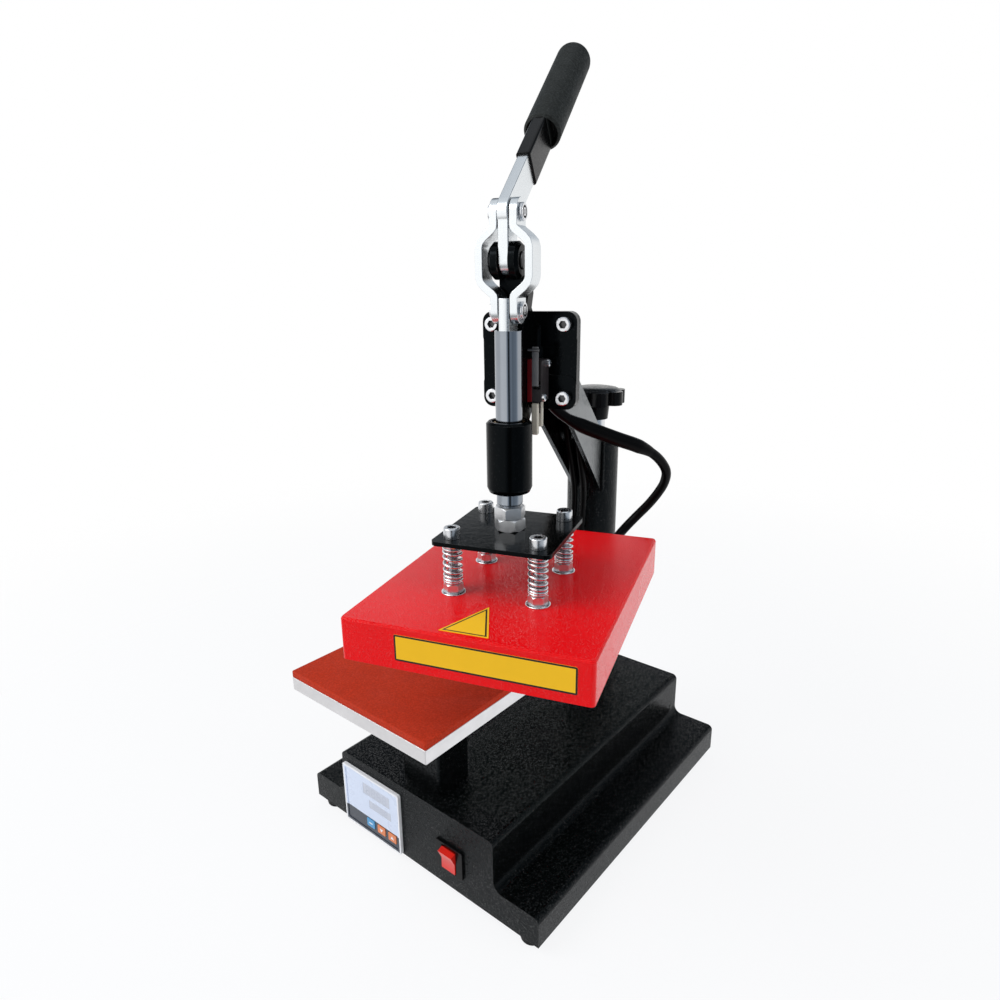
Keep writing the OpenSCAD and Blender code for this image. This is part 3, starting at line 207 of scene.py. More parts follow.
def new_group(name, kind, outputs, **inputs):
    """An empty node group: the tree, what comes in by default value or by type, and what goes out."""
    tree = bpy.data.node_groups.new(name, kind)
    types = {float: "Float", int: "Int", tuple: "Vector"}
    for label, default in inputs.items():
        typed = isinstance(default, str)
        socket_type = "NodeSocket" + (default if typed else types[type(default)])
        socket = tree.interface.new_socket(label.replace("_", " "), in_out="INPUT", socket_type=socket_type)
        if not typed:
            socket.default_value = default
    for label, socket_type in outputs.items():
        tree.interface.new_socket(label, in_out="OUTPUT", socket_type="NodeSocket" + socket_type)
    return tree, tree.nodes.new("NodeGroupInput").outputs, tree.nodes.new("NodeGroupOutput").inputs


def maths(tree, operation, *values):
    """The result of a calculation on values or sockets."""
    return put(tree, "ShaderNodeMath", dict(enumerate(values)), operation=operation)


def per_metre(tree, feature):
    """Texture scale for a feature of a size in metres."""
    return maths(tree, "DIVIDE", 1.0, feature)


def noise(tree, vector, scale, detail=2.0, rough=0.5):
    """A noise value between 0 and 1."""
    return put(tree, "ShaderNodeTexNoise", {
        "Vector": vector, "Scale": scale, "Detail": detail, "Roughness": rough})


def remap(tree, value, low, high, to_low=0.0, to_high=1.0, smooth=False):
    """A value moved from one range to another, held at its ends."""
    return put(tree, "ShaderNodeMapRange", {
        "Value": value, "From Min": low, "From Max": high, "To Min": to_low, "To Max": to_high},
        interpolation_type="SMOOTHSTEP" if smooth else "LINEAR")


def mix_colour(tree, factor, first, second):
    """Two colours mixed by a factor."""
    return add(tree, "ShaderNodeMix", {0: factor, 6: first, 7: second}, data_type="RGBA").outputs[2]


def mix_value(tree, factor, first, second):
    """Two values mixed by a factor."""
    return put(tree, "ShaderNodeMix", {0: factor, 2: first, 3: second}, data_type="FLOAT")


def mix_shader(tree, factor, first, second):
    """Two shaders mixed by a factor."""
    return put(tree, "ShaderNodeMixShader", {0: factor, 1: first, 2: second})


# Effects that several finishes share


@cache
def coat_texture():
    """Powder coat: scattered pimples over a slow orange peel."""
    tree, given, result = new_group(
        "Coat texture", "ShaderNodeTree", {"Height": "Float", "Grain": "Float"},
        Vector="Vector", Grain_size=0.0006, Peel_size=0.003, Peel_share=0.4)
    grain = noise(tree, given["Vector"], per_metre(tree, given["Grain size"]), 2.0, 0.55)
    peel = noise(tree, given["Vector"], per_metre(tree, given["Peel size"]), 1.0, 0.4)
    pimples = remap(tree, grain, 0.5, 0.75, smooth=True)
    tree.links.new(mix_value(tree, given["Peel share"], pimples, peel), result["Height"])
    tree.links.new(grain, result["Grain"])
    return tree


@cache
def tone_drift():
    """A slow change of tone over a surface, as from handling and uneven coats."""
    tree, given, result = new_group(
        "Tone drift", "ShaderNodeTree", {"Value": "Float"},
        Vector="Vector", Patch_size=0.05, Low=0.0, High=1.0)
    patch = noise(tree, given["Vector"], per_metre(tree, given["Patch size"]), 4.0, 0.6)
    tree.links.new(remap(tree, patch, 0.3, 0.7, given["Low"], given["High"]), result["Value"])
    return tree


@cache
def edge_wear_and_glint():
    """Lighter flecks along rounded edges: wear where a finish is thin, and a painted highlight."""
    tree, given, result = new_group(
        "Edge rub", "ShaderNodeTree", {"Mask": "Float"},
        Vector="Vector", Fleck_size=0.004, Amount=0.3)
    edge = add(tree, "ShaderNodeAttribute", attribute_name="edge").outputs["Fac"]
    fleck = noise(tree, given["Vector"], per_metre(tree, given["Fleck size"]), 3.0, 0.65)
    fleck = remap(tree, fleck, 0.42, 0.68, 0.15, 1.0, True)
    share = maths(tree, "MULTIPLY", fleck, given["Amount"])
    tree.links.new(maths(tree, "MULTIPLY", edge, share), result["Mask"])
    return tree


@cache
def drawn_lines():
    """Fine lines along one axis, as rolling, grinding or drawing leaves them."""
    tree, given, result = new_group(
        "Drawn lines", "ShaderNodeTree", {"Height": "Float", "Value": "Float"},
        Vector="Vector", Line_size=0.0004, Stretch=(1.0, 1.0, 0.03))
    drawn = put(tree, "ShaderNodeVectorMath", {0: given["Vector"], 1: given["Stretch"]}, operation="MULTIPLY")
    lines = noise(tree, drawn, per_metre(tree, given["Line size"]), 3.0, 0.6)
    tree.links.new(lines, result["Height"])
    tree.links.new(remap(tree, lines, 0.3, 0.7), result["Value"])
    return tree


def opaque(colour):
    """A colour with full alpha."""
    return tuple(colour[:3]) + (1.0,)


def lighter(colour, share):
    """A colour moved towards white."""
    return opaque([c + (1 - c) * share for c in colour[:3]])


def darker(colour, share):
    """A colour moved towards black."""
    return opaque([c * (1 - share) for c in colour[:3]])


class Finish:
    """A material under way: its colour, its tree, its Principled shader and its place on the object."""

    def __init__(self, name, colour=None):
        self.colour = getattr(bpy.context.scene.press_finishes, name) if colour is None else colour
        self.material = bpy.data.materials.new(FINISH_NAME % name)
        self.material.use_nodes = True
        self.tree = self.material.node_tree
        self.shader = self.tree.nodes["Principled BSDF"]
        self.place = add(self.tree, "ShaderNodeTexCoord").outputs["Object"]

    def set(self, **values):
        """Sets plain values on the shader."""
        for key, value in values.items():
            self.shader.inputs[key.replace("_", " ")].default_value = value

    def join(self, socket, target):
        """Joins a varying socket to one of the shader's inputs."""
        self.tree.links.new(socket, self.shader.inputs[target])

    def effect(self, group, **values):
        """A shared effect, placed on the object with this finish's own values."""
        node = add(self.tree, "ShaderNodeGroup", node_tree=group)
        self.tree.links.new(self.place, node.inputs["Vector"])
        for key, value in values.items():
            node.inputs[key.replace("_", " ")].default_value = value
        return node.outputs

    def drift(self, patch, low, high):
        """A value that changes slowly over the surface, in patches of a size in metres."""
        return self.effect(tone_drift(), Patch_size=patch, Low=low, High=high)["Value"]

    def stained(self, patch, amount, share):
        """The finish's colour, darker by a share in patches."""
        tone = self.drift(patch, 0.0, amount)
        return mix_colour(self.tree, tone, opaque(self.colour), darker(self.colour, share))

    def rubbed(self, body, share, amount, fleck=0.004):
        """A colour that is lighter by a share on rounded edges, as wear and as a painted highlight."""
        mask = self.effect(edge_wear_and_glint(), Amount=amount, Fleck_size=fleck)["Mask"]
        return mix_colour(self.tree, mask, body, lighter(self.colour, share))

    def bump(self, height, depth):
        """Bumps of a depth in metres."""
        bump = put(self.tree, "ShaderNodeBump", {"Height": height, "Distance": depth})
        self.join(bump, "Normal")


def coated(
        name, colour=None, *, grain, peel, share, depth, rough, specular, rub, shine=0.0, drift=0.35,
        fleck=0.0, sheen=(1.0, 1.0, 1.0)):
    """Paint or powder coat on sheet metal, with pimples that shine more than the coat between them, and a
    painted glint that makes them lighter in colour.
    """
    finish = Finish(name, colour)
    tree = finish.tree
    texture = finish.effect(coat_texture(), Grain_size=grain, Peel_size=peel, Peel_share=share)
    spots = remap(tree, texture["Grain"], 0.62, 0.74)
    body = finish.stained(patch=0.06, amount=drift, share=0.5)
    # Painted glint: the pimples are lighter in colour by the fleck share
    body = mix_colour(tree, spots, body, lighter(finish.colour, fleck))
    # Edges lighter for wear and as a painted highlight
    finish.join(finish.rubbed(body, share=0.25, amount=rub), "Base Color")
    finish.join(finish.drift(patch=0.025, low=rough * 0.88, high=rough * 1.12), "Roughness")
    if shine:
        finish.join(remap(tree, spots, 0.0, 1.0, 0.0, shine), "Coat Weight")
    finish.bump(texture["Height"], depth)
    finish.set(Specular_IOR_Level=specular, Coat_Roughness=rough, Specular_Tint=opaque(sheen))
    return finish.material


def moulded(name, *, rough, depth, specular=0.4, grain=0.0005, drift=0.25, mottle=0.0):
    """Moulded plastic, rubber or foam with a fine grain, which shows as colour in an open foam."""
    finish = Finish(name)
    tree = finish.tree
    texture = finish.effect(coat_texture(), Grain_size=grain, Peel_size=grain * 8, Peel_share=0.25)
    body = finish.stained(patch=0.02, amount=drift, share=0.4)
    if mottle:
        pits = remap(tree, texture["Grain"], 0.35, 0.65, mottle, 0.0)
        body = mix_colour(tree, pits, body, darker(finish.colour, 0.85))
    finish.join(finish.rubbed(body, share=0.08, amount=0.2), "Base Color")
    finish.join(finish.drift(patch=0.012, low=rough * 0.85, high=rough * 1.15), "Roughness")
    finish.bump(texture["Height"], depth)
    finish.set(Specular_IOR_Level=specular)
    return finish.material


def metal(name, colour=None, *, rough, stretch, line=0.0004, depth=0.000004, drift=0.3):
    """Bare or plated metal with fine drawn lines, slow stains, lighter worn edges with a painted highlight,
    and painted shade in its pockets.
    """
    finish = Finish(name, colour)
    tree = finish.tree
    lines = finish.effect(drawn_lines(), Line_size=line, Stretch=stretch)
    body = finish.stained(patch=0.018, amount=drift, share=0.3)
    # Edges much lighter for wear and as a painted highlight
    body = finish.rubbed(body, share=0.4, amount=0.5, fleck=0.003)
    # Painted shade: the colour goes nearly black where a corner lies deep in a pocket
    pocket = add(tree, "ShaderNodeAttribute", attribute_name="pocket").outputs["Fac"]
    painted_shade = remap(tree, pocket, 0.25, 0.75, 0.0, 0.92)
    finish.join(mix_colour(tree, painted_shade, body, darker(finish.colour, 0.97)), "Base Color")
    finish.join(remap(tree, lines["Value"], 0.0, 1.0, rough * 0.75, rough * 1.3), "Roughness")
    finish.bump(lines["Height"], depth)
    finish.set(Metallic=1.0)
    return finish.material


def sponge(name):
    """Closed-cell silicone sponge: pores of two sizes and a dry bloom."""
    finish = Finish(name)
    tree = finish.tree
    texture = finish.effect(coat_texture(), Grain_size=0.0013, Peel_size=0.003, Peel_share=0.35)
    body = finish.stained(patch=0.035, amount=0.3, share=0.25)
    deep = mix_colour(tree, 0.35, body, darker(finish.colour, 0.7))
    body = mix_colour(tree, remap(tree, texture["Grain"], 0.35, 0.66), deep, body)
    finish.join(finish.rubbed(body, share=0.03, amount=0.25, fleck=0.006), "Base Color")
    finish.join(finish.drift(patch=0.02, low=0.55, high=0.72), "Roughness")
    finish.bump(texture["Height"], depth=0.00016)
    finish.set(Specular_IOR_Level=0.12)
    return finish.material


def make_finishes(colours):
    """One material for each of the record's slots, and a duller zinc for nuts whose lighter colour is painted
    light.
    """
    coated(
        "black_powder", grain=0.0014, peel=0.006, share=0.1, depth=0.0007, rough=0.22, specular=0.125,
        shine=0.6, rub=0.1, fleck=0.02, sheen=colours.black_sheen)
    coated(
        "dark_sheet", grain=0.0009, peel=0.004, share=0.25, depth=0.0001, rough=0.5, specular=0.1,
        shine=0.3, rub=0.1)
    coated(
        "black_gloss", grain=0.0014, peel=0.005, share=0.7, depth=0.00008, rough=0.16, specular=0.065,
        shine=0.2, rub=0.3, sheen=colours.black_sheen)
    coated(
        "red_paint", grain=0.0012, peel=0.005, share=0.2, depth=0.0002, rough=0.2, specular=0.24, rub=0.03,
        drift=0.1)
    moulded("black_plastic", rough=0.2, depth=0.00003, specular=0.12)
    moulded("grip_foam", rough=0.6, depth=0.0005, specular=0.15, grain=0.0016, drift=0.3, mottle=0.7)
    moulded("rubber", rough=0.65, depth=0.00006, specular=0.15, grain=0.0008)
    moulded("cable", rough=0.3, depth=0.00003, specular=0.05, grain=0.0007)
    moulded("fibre", rough=0.9, depth=0.0004, specular=0.1, grain=0.0015, drift=0.3)
    moulded("white_plastic", rough=0.35, depth=0.00002, drift=0.06)
    moulded("panel_face", rough=0.3, depth=0.000008, drift=0.03)
    moulded("panel_window", rough=0.15, depth=0.000004, drift=0.05)
    moulded("blue_key", rough=0.3, depth=0.00001, drift=0.2)
    moulded("orange_key", rough=0.3, depth=0.00001, drift=0.2)
    moulded("red_rocker", rough=0.2, depth=0.000008, drift=0.3)
    metal("zinc", rough=0.24, stretch=(1.0, 1.0, 0.3), line=0.0012, depth=0.000002, drift=0.1)
    # Painted light: the nuts get a lighter copy of the zinc
    metal(
        "nut_zinc", lighter(colours.zinc, 0.5), rough=0.35, stretch=(1.0, 1.0, 0.3), line=0.003,
        depth=0.000002, drift=0.1)
    metal("plated_steel", rough=0.25, stretch=(0.05, 1.0, 1.0), line=0.0005, drift=0.15)
    metal("dark_steel", rough=0.35, stretch=(1.0, 1.0, 0.1))
    metal("bronze", rough=0.35, stretch=(1.0, 1.0, 0.1))
    metal("aluminium", rough=0.42, stretch=(0.06, 0.06, 1.0), line=0.0006, depth=0.00001)
    sponge("silicone")


def finish_of(slot):
    """The material of a slot."""
    return bpy.data.materials[FINISH_NAME % slot]


# Mesh helpers


def piece_from(name, bm, *materials):
    """A finished piece at the origin, from a mesh that holds its own place."""
    mesh = bpy.data.meshes.new(name)
    bm.to_mesh(mesh)
    bm.free()
    for material in materials:
        mesh.materials.append(material)
    piece = bpy.data.objects.new(name, mesh)
    bpy.context.scene.collection.objects.link(piece)
    return piece


def smooth(piece, angle=50.0, weighted=True):
    """Smooth shading that keeps flat faces flat and sharp corners sharp."""
    mesh = piece.data
    mesh.polygons.foreach_set("use_smooth", [True] * len(mesh.polygons))
    mesh.set_sharp_from_angle(angle=math.radians(angle))
    if weighted:
        modifier = piece.modifiers.new("Flat faces", "WEIGHTED_NORMAL")
        modifier.keep_sharp = True
    return piece


def rounded(bm, width, segments):
    """Rounds the sharp edges of a mesh and marks the new faces as edge."""
    layer = bm.loops.layers.float.get("edge") or bm.loops.layers.float.new("edge")
    sharp = [e for e in bm.edges if len(e.link_faces) == 2 and e.calc_face_angle(0.0) > SHARP_ANGLE]
    made = bmesh.ops.bevel(
        bm, geom=sharp, offset=width, offset_type="OFFSET", segments=segments, profile=0.5,
        affect="EDGES", clamp_overlap=True, miter_outer="SHARP")
    for face in made["faces"]:
        for loop in face.loops:
            loop[layer] = 1.0


def pocketed(bm, reach=0.005, rays=24, inset=0.05, lift=0.00002):
    """Marks how deep each corner of a mesh lies in a pocket, such as a screw's socket, for the painted shade
    of the metals.
    """
    golden_turn = math.pi * (3 - math.sqrt(5))
    layer = bm.loops.layers.float.new("pocket")
    bm.normal_update()
    tree = BVHTree.FromBMesh(bm)
    spread = []
    for i in range(rays):
        rise = (i + 0.5) / rays
        turn = i * golden_turn
        flat = math.sqrt(1 - rise * rise)
        spread.append(Vector((flat * math.cos(turn), flat * math.sin(turn), rise)))
    for face in bm.faces:
        aim = face.normal.to_track_quat("Z", "Y")
        ways = [aim @ way for way in spread]
        middle = face.calc_center_median()
        for loop in face.loops:
            start = loop.vert.co.lerp(middle, inset) + face.normal * lift
            loop[layer] = sum(tree.ray_cast(start, way, reach)[0] is not None for way in ways) / rays


def copied(node):
    """A merged copy of a CAD node's mesh with its flat faces whole."""
    bm = bmesh.new()
    bm.from_mesh(frame["nodes"][node].data)
    bmesh.ops.remove_doubles(bm, verts=bm.verts, dist=MERGE_REACH)
    bmesh.ops.dissolve_limit(
        bm, angle_limit=FLAT_ANGLE, use_dissolve_boundaries=False, verts=bm.verts, edges=bm.edges)
    return bm


def dress(node, width=None, segments=2, material=None):
    """A copy of a CAD node, its edges rounded by a width, stands for it in its slot's finish."""
    bm = copied(node)
    rounded(bm, width or bpy.context.scene.press_sizes.edge_round, segments)
    # Zinc pieces get the pocket depth, which the metal finishes paint as shade
    if SLOT_OF[node] == "zinc":
        pocketed(bm)
    piece = smooth(piece_from(node + "_look", bm, material or finish_of(SLOT_OF[node])))
    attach(piece, BODY_OF[node])
    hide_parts(node)
    return piece


def cut_up(piece, planes, pick):
    """Cuts a piece's mesh at planes and gives each face the material number that it picks."""
    bm = bmesh.new()
    bm.from_mesh(piece.data)
    for point, normal in planes:
        bmesh.ops.bisect_plane(
            bm, geom=bm.verts[:] + bm.edges[:] + bm.faces[:], plane_co=point, plane_no=normal)
    for face in bm.faces:
        face.material_index = pick(face.calc_center_median())
    bm.to_mesh(piece.data)
    bm.free()


def pin_ends(node, wide, dark):
    """Rings and a slot on the two end faces of a cross pin of a radius; the dark ring and the slot are
    painted shade.
    """
    bm = bmesh.new()
    bm.from_mesh(frame["nodes"][node].data)
    bm.transform(PLUNGER.inverted())
    low = [min(v.co[i] for v in bm.verts) for i in range(3)]
    high = [max(v.co[i] for v in bm.verts) for i in range(3)]
    bm.free()
    turn = Matrix.Rotation(math.radians(90), 4, "Y")
    circle = [(wide * math.cos(math.pi * i / 16), wide * math.sin(math.pi * i / 16)) for i in range(32)]
    rings = [(wide * 0.24, 0, 0), (wide * 0.26, 1, 0)]
    groove = round_outline((-wide * 0.3, -wide * 0.13), (wide * 0.3, wide * 0.13), wide * 0.05)
    cap_thick, groove_thick = 0.00025, 0.00032
    for number, (side, aim) in enumerate(((high[0], turn), (low[0], turn.inverted()))):
        place = PLUNGER @ Matrix.Translation((side, (low[1] + high[1]) / 2, (low[2] + high[2]) / 2)) @ aim
        cap = plate_mesh(circle, cap_thick, rings, place)
        cap = piece_from("%s_end_%d" % (node, number + 1), cap, finish_of(SLOT_OF[node]), dark)
        add_on(cap, BODY_OF[node])
        slot = plate_mesh(groove, groove_thick, (), place)
        add_on(piece_from("%s_slot_%d" % (node, number + 1), slot, dark), BODY_OF[node])


def add_on(piece, body):
    """A small added piece rides a body."""
    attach(piece, body)


def box_mesh(low, high, place):
    """A box between two corners, moved to a place."""
    bm = bmesh.new()
    bmesh.ops.create_cube(bm, size=1.0)
    for vert in bm.verts:
        vert.co = Vector([low[i] + (vert.co[i] + 0.5) * (high[i] - low[i]) for i in range(3)])
    bm.transform(place)
    return bm


def plate_mesh(outline, thick, frames, place):
    """A thin plate on the XY plane with frames of a width and a material number set in from its rim."""
    bm = bmesh.new()
    low = [bm.verts.new((x, y, 0.0)) for x, y in outline]
    face = bm.faces.new(low)
    if face.normal.z < 0:
        face.normal_flip()
    top = bmesh.ops.extrude_face_region(bm, geom=[face])
    verts = [v for v in top["geom"] if isinstance(v, bmesh.types.BMVert)]
    bmesh.ops.translate(bm, verts=verts, vec=(0, 0, thick))
    bmesh.ops.recalc_face_normals(bm, faces=bm.faces)
    upper = [f for f in bm.faces if f.normal.z > 0.9]
    for width, first, then in frames:
        ring = bmesh.ops.inset_region(bm, faces=upper, thickness=width, use_even_offset=True)
        for f in ring["faces"]:
            f.material_index = first
        for f in upper:
            f.material_index = then
    bm.transform(place)
    return bm


def round_outline(low, high, radius, steps=5):
    """The outline of a rectangle with round corners."""
    points = []
    corners = [(high[0], high[1], 0), (low[0], high[1], 90), (low[0], low[1], 180), (high[0], low[1], 270)]
    for x, y, start in corners:
        cx = x - math.copysign(radius, x - (low[0] + high[0]) / 2)
        cy = y - math.copysign(radius, y - (low[1] + high[1]) / 2)
        for i in range(steps + 1):
            turn = math.radians(start + 90 * i / steps)
            points.append((cx + radius * math.cos(turn), cy + radius * math.sin(turn)))
    return points


def sweep(path, diameters, sides):
    """A closed tube along a path, of a diameter at each point, without twist."""
    bm = bmesh.new()
    points = [Vector(p) for p in path]
    padded = points[:1] + points + points[-1:]
    along = [(after - before).normalized() for before, after in zip(padded, padded[2:])]
    side = along[0].orthogonal().normalized()
    rings = []
    for point, ahead, diameter in zip(points, along, diameters):
        side = (side - ahead * side.dot(ahead)).normalized()
        up = ahead.cross(side)
        ring = []
        for k in range(sides):
            turn = 2 * math.pi * k / sides
            ring.append(bm.verts.new(point + (side * math.cos(turn) + up * math.sin(turn)) * diameter / 2))
        rings.append(ring)
    for near, far in zip(rings, rings[1:]):
        for k in range(sides):
            bm.faces.new((near[k], near[(k + 1) % sides], far[(k + 1) % sides], far[k]))
    bm.faces.new(rings[0])
    bm.faces.new(rings[-1])
    bmesh.ops.recalc_face_normals(bm, faces=bm.faces)
    return bm


def curve_through(points):
    """A smooth path through points given in mm in the head's own axes, as it stands in the frame."""
    knots = [HEAD @ (Vector(p) * 0.001) for p in points]
    knots = [2 * knots[0] - knots[1]] + knots + [2 * knots[-1] - knots[-2]]
    path = []
    for a, b, c, d in zip(knots, knots[1:], knots[2:], knots[3:]):
        for i in range(ROUTE_STEPS):
            t = i / ROUTE_STEPS
            path.append(0.5 * (
                2 * b + (c - a) * t + (2 * a - 5 * b + 4 * c - d) * t * t + (3 * b - a - 3 * c + d) * t ** 3))
    path.append(knots[-2])
    return path


def path_length(path):
    """Length of a path."""
    return sum((b - a).length for a, b in zip(path, path[1:]))


def grown(name, tree, values, place=Matrix(), points=()):
    """A plain mesh piece grown by a Geometry Nodes tree from a line of points or from nothing."""
    mesh = bpy.data.meshes.new(name)
    mesh.from_pydata([tuple(p) for p in points], [(i, i + 1) for i in range(len(points) - 1)], [])
    piece = bpy.data.objects.new(name, mesh)
    bpy.context.scene.collection.objects.link(piece)
    modifier = piece.modifiers.new("Grow", "NODES")
    modifier.node_group = tree
    for item in tree.interface.items_tree:
        if item.item_type == "SOCKET" and item.in_out == "INPUT" and item.name in values:
            modifier[item.identifier] = values[item.name]
    evaluated = piece.evaluated_get(bpy.context.evaluated_depsgraph_get())
    piece.data, spare = bpy.data.meshes.new_from_object(evaluated), piece.data
    piece.modifiers.clear()
    bpy.data.meshes.remove(spare)
    piece.data.transform(place)
    return piece


# Geometry Nodes trees


def copies_on(tree, points, shape, **inputs):
    """Copies of a shape on points."""
    return put(tree, "GeometryNodeInstanceOnPoints", {"Points": points, "Instance": shape, **inputs})


def rounded_off(tree, shape):
    """A shape with smooth shading."""
    return put(tree, "GeometryNodeSetShadeSmooth", {"Geometry": shape, "Shade Smooth": True})


def finished(tree, copies, given, result):
    """Makes a tree's copies real, gives them their material and puts them out."""
    whole = put(tree, "GeometryNodeRealizeInstances", {"Geometry": copies})
    named = put(tree, "GeometryNodeSetMaterial", {"Geometry": whole, "Material": given["Material"]})
    tree.links.new(named, result["Geometry"])
    return tree


def spring_tree():
    """Coil springs with closed ends at the corners of a square."""
    tree, given, result = new_group(
        "Pressure spring", "GeometryNodeTree", {"Geometry": "Geometry"},
        Coil_radius=0.0059, Wire_radius=0.001, Height=0.0292, Turns=9.0, Pitch=0.061, Material="Material")
    thread = put(tree, "GeometryNodeCurveSpiral", {
        "Resolution": 28, "Rotations": given["Turns"], "Start Radius": given["Coil radius"],
        "End Radius": given["Coil radius"], "Height": 1.0})
    place = add(tree, "ShaderNodeSeparateXYZ", {0: put(tree, "GeometryNodeInputPosition")}).outputs
    rise = add(tree, "ShaderNodeFloatCurve", {"Value": place["Z"]})
    line = rise.mapping.curves[0]
    line.points[0].location = (0.0, 0.0)
    line.points[1].location = (1.0, 1.0)
    line.points.new(0.12, 0.045)
    line.points.new(0.88, 0.955)
    rise.mapping.update()
    wire_width = maths(tree, "MULTIPLY", given["Wire radius"], 2.0)
    span = maths(tree, "SUBTRACT", given["Height"], wire_width)
    lift = maths(tree, "MULTIPLY_ADD", rise.outputs[0], span, given["Wire radius"])
    moved = put(tree, "ShaderNodeCombineXYZ", {"X": place["X"], "Y": place["Y"], "Z": lift})
    coil = put(tree, "GeometryNodeSetPosition", {"Geometry": thread, "Position": moved})
    wire = put(tree, "GeometryNodeCurvePrimitiveCircle", {"Resolution": 12, "Radius": given["Wire radius"]})
    solid = put(tree, "GeometryNodeCurveToMesh", {"Curve": coil, "Profile Curve": wire, "Fill Caps": True})
    corners = put(tree, "GeometryNodeMeshGrid", {
        "Size X": given["Pitch"], "Size Y": given["Pitch"], "Vertices X": 2, "Vertices Y": 2})
    return finished(tree, copies_on(tree, corners, rounded_off(tree, solid)), given, result)


def digit_tree():
    """A row of unlit seven-bar digits on the XY plane, round the origin."""
    tree, given, result = new_group(
        "Unlit digits", "GeometryNodeTree", {"Geometry": "Geometry"},
        Count=4, Height=0.008, Bar=0.001, Material="Material")

    def times(value, factor):
        return maths(tree, "MULTIPLY", value, factor)

    def vector(x, y, z=0.0):
        return put(tree, "ShaderNodeCombineXYZ", {"X": x, "Y": y, "Z": z})

    # The bars, their distances and the digits' pitch are shares of a digit's height
    height = given["Height"]
    thick = times(given["Bar"], 0.06)
    level = put(tree, "GeometryNodeMeshCube", {"Size": vector(times(height, 0.40), given["Bar"], thick)})
    post = put(tree, "GeometryNodeMeshCube", {"Size": vector(given["Bar"], times(height, 0.38), thick)})
    rows = put(tree, "GeometryNodeMeshLine", {
        "Count": 3, "Start Location": vector(0.0, times(height, -0.5)),
        "Offset": vector(0.0, times(height, 0.5))})
    sides = put(tree, "GeometryNodeMeshGrid", {
        "Size X": times(height, 0.54), "Size Y": times(height, 0.5), "Vertices X": 2, "Vertices Y": 2})
    digit = add(tree, "GeometryNodeJoinGeometry")
    tree.links.new(copies_on(tree, rows, level), digit.inputs[0])
    tree.links.new(copies_on(tree, sides, post), digit.inputs[0])
    pitch = times(height, 0.92)
    start = times(times(maths(tree, "SUBTRACT", given["Count"], 1.0), pitch), -0.5)
    places = put(tree, "GeometryNodeMeshLine", {
        "Count": given["Count"], "Start Location": vector(start, 0.0), "Offset": vector(pitch, 0.0)})
    return finished(tree, copies_on(tree, places, digit.outputs[0]), given, result)


def weld_tree():
    """A rippled weld bead along a line of points."""
    tree, given, result = new_group(
        "Weld bead", "GeometryNodeTree", {"Geometry": "Geometry"},
        Geometry="Geometry", Ripple=0.0021, Bead_radius=0.0026, Material="Material")
    line = put(tree, "GeometryNodeMeshToCurve", {"Mesh": given["Geometry"]})
    even = put(tree, "GeometryNodeResampleCurve", {"Curve": line, "Length": given["Ripple"]}, mode="LENGTH")
    bead = put(tree, "GeometryNodeMeshUVSphere", {"Segments": 12, "Rings": 8, "Radius": given["Bead radius"]})
    scale = add(tree, "FunctionNodeRandomValue", {2: 0.85, 3: 1.1, "Seed": 7}, data_type="FLOAT").outputs[1]
    return finished(tree, copies_on(tree, even, rounded_off(tree, bead), Scale=scale), given, result)


# Operators


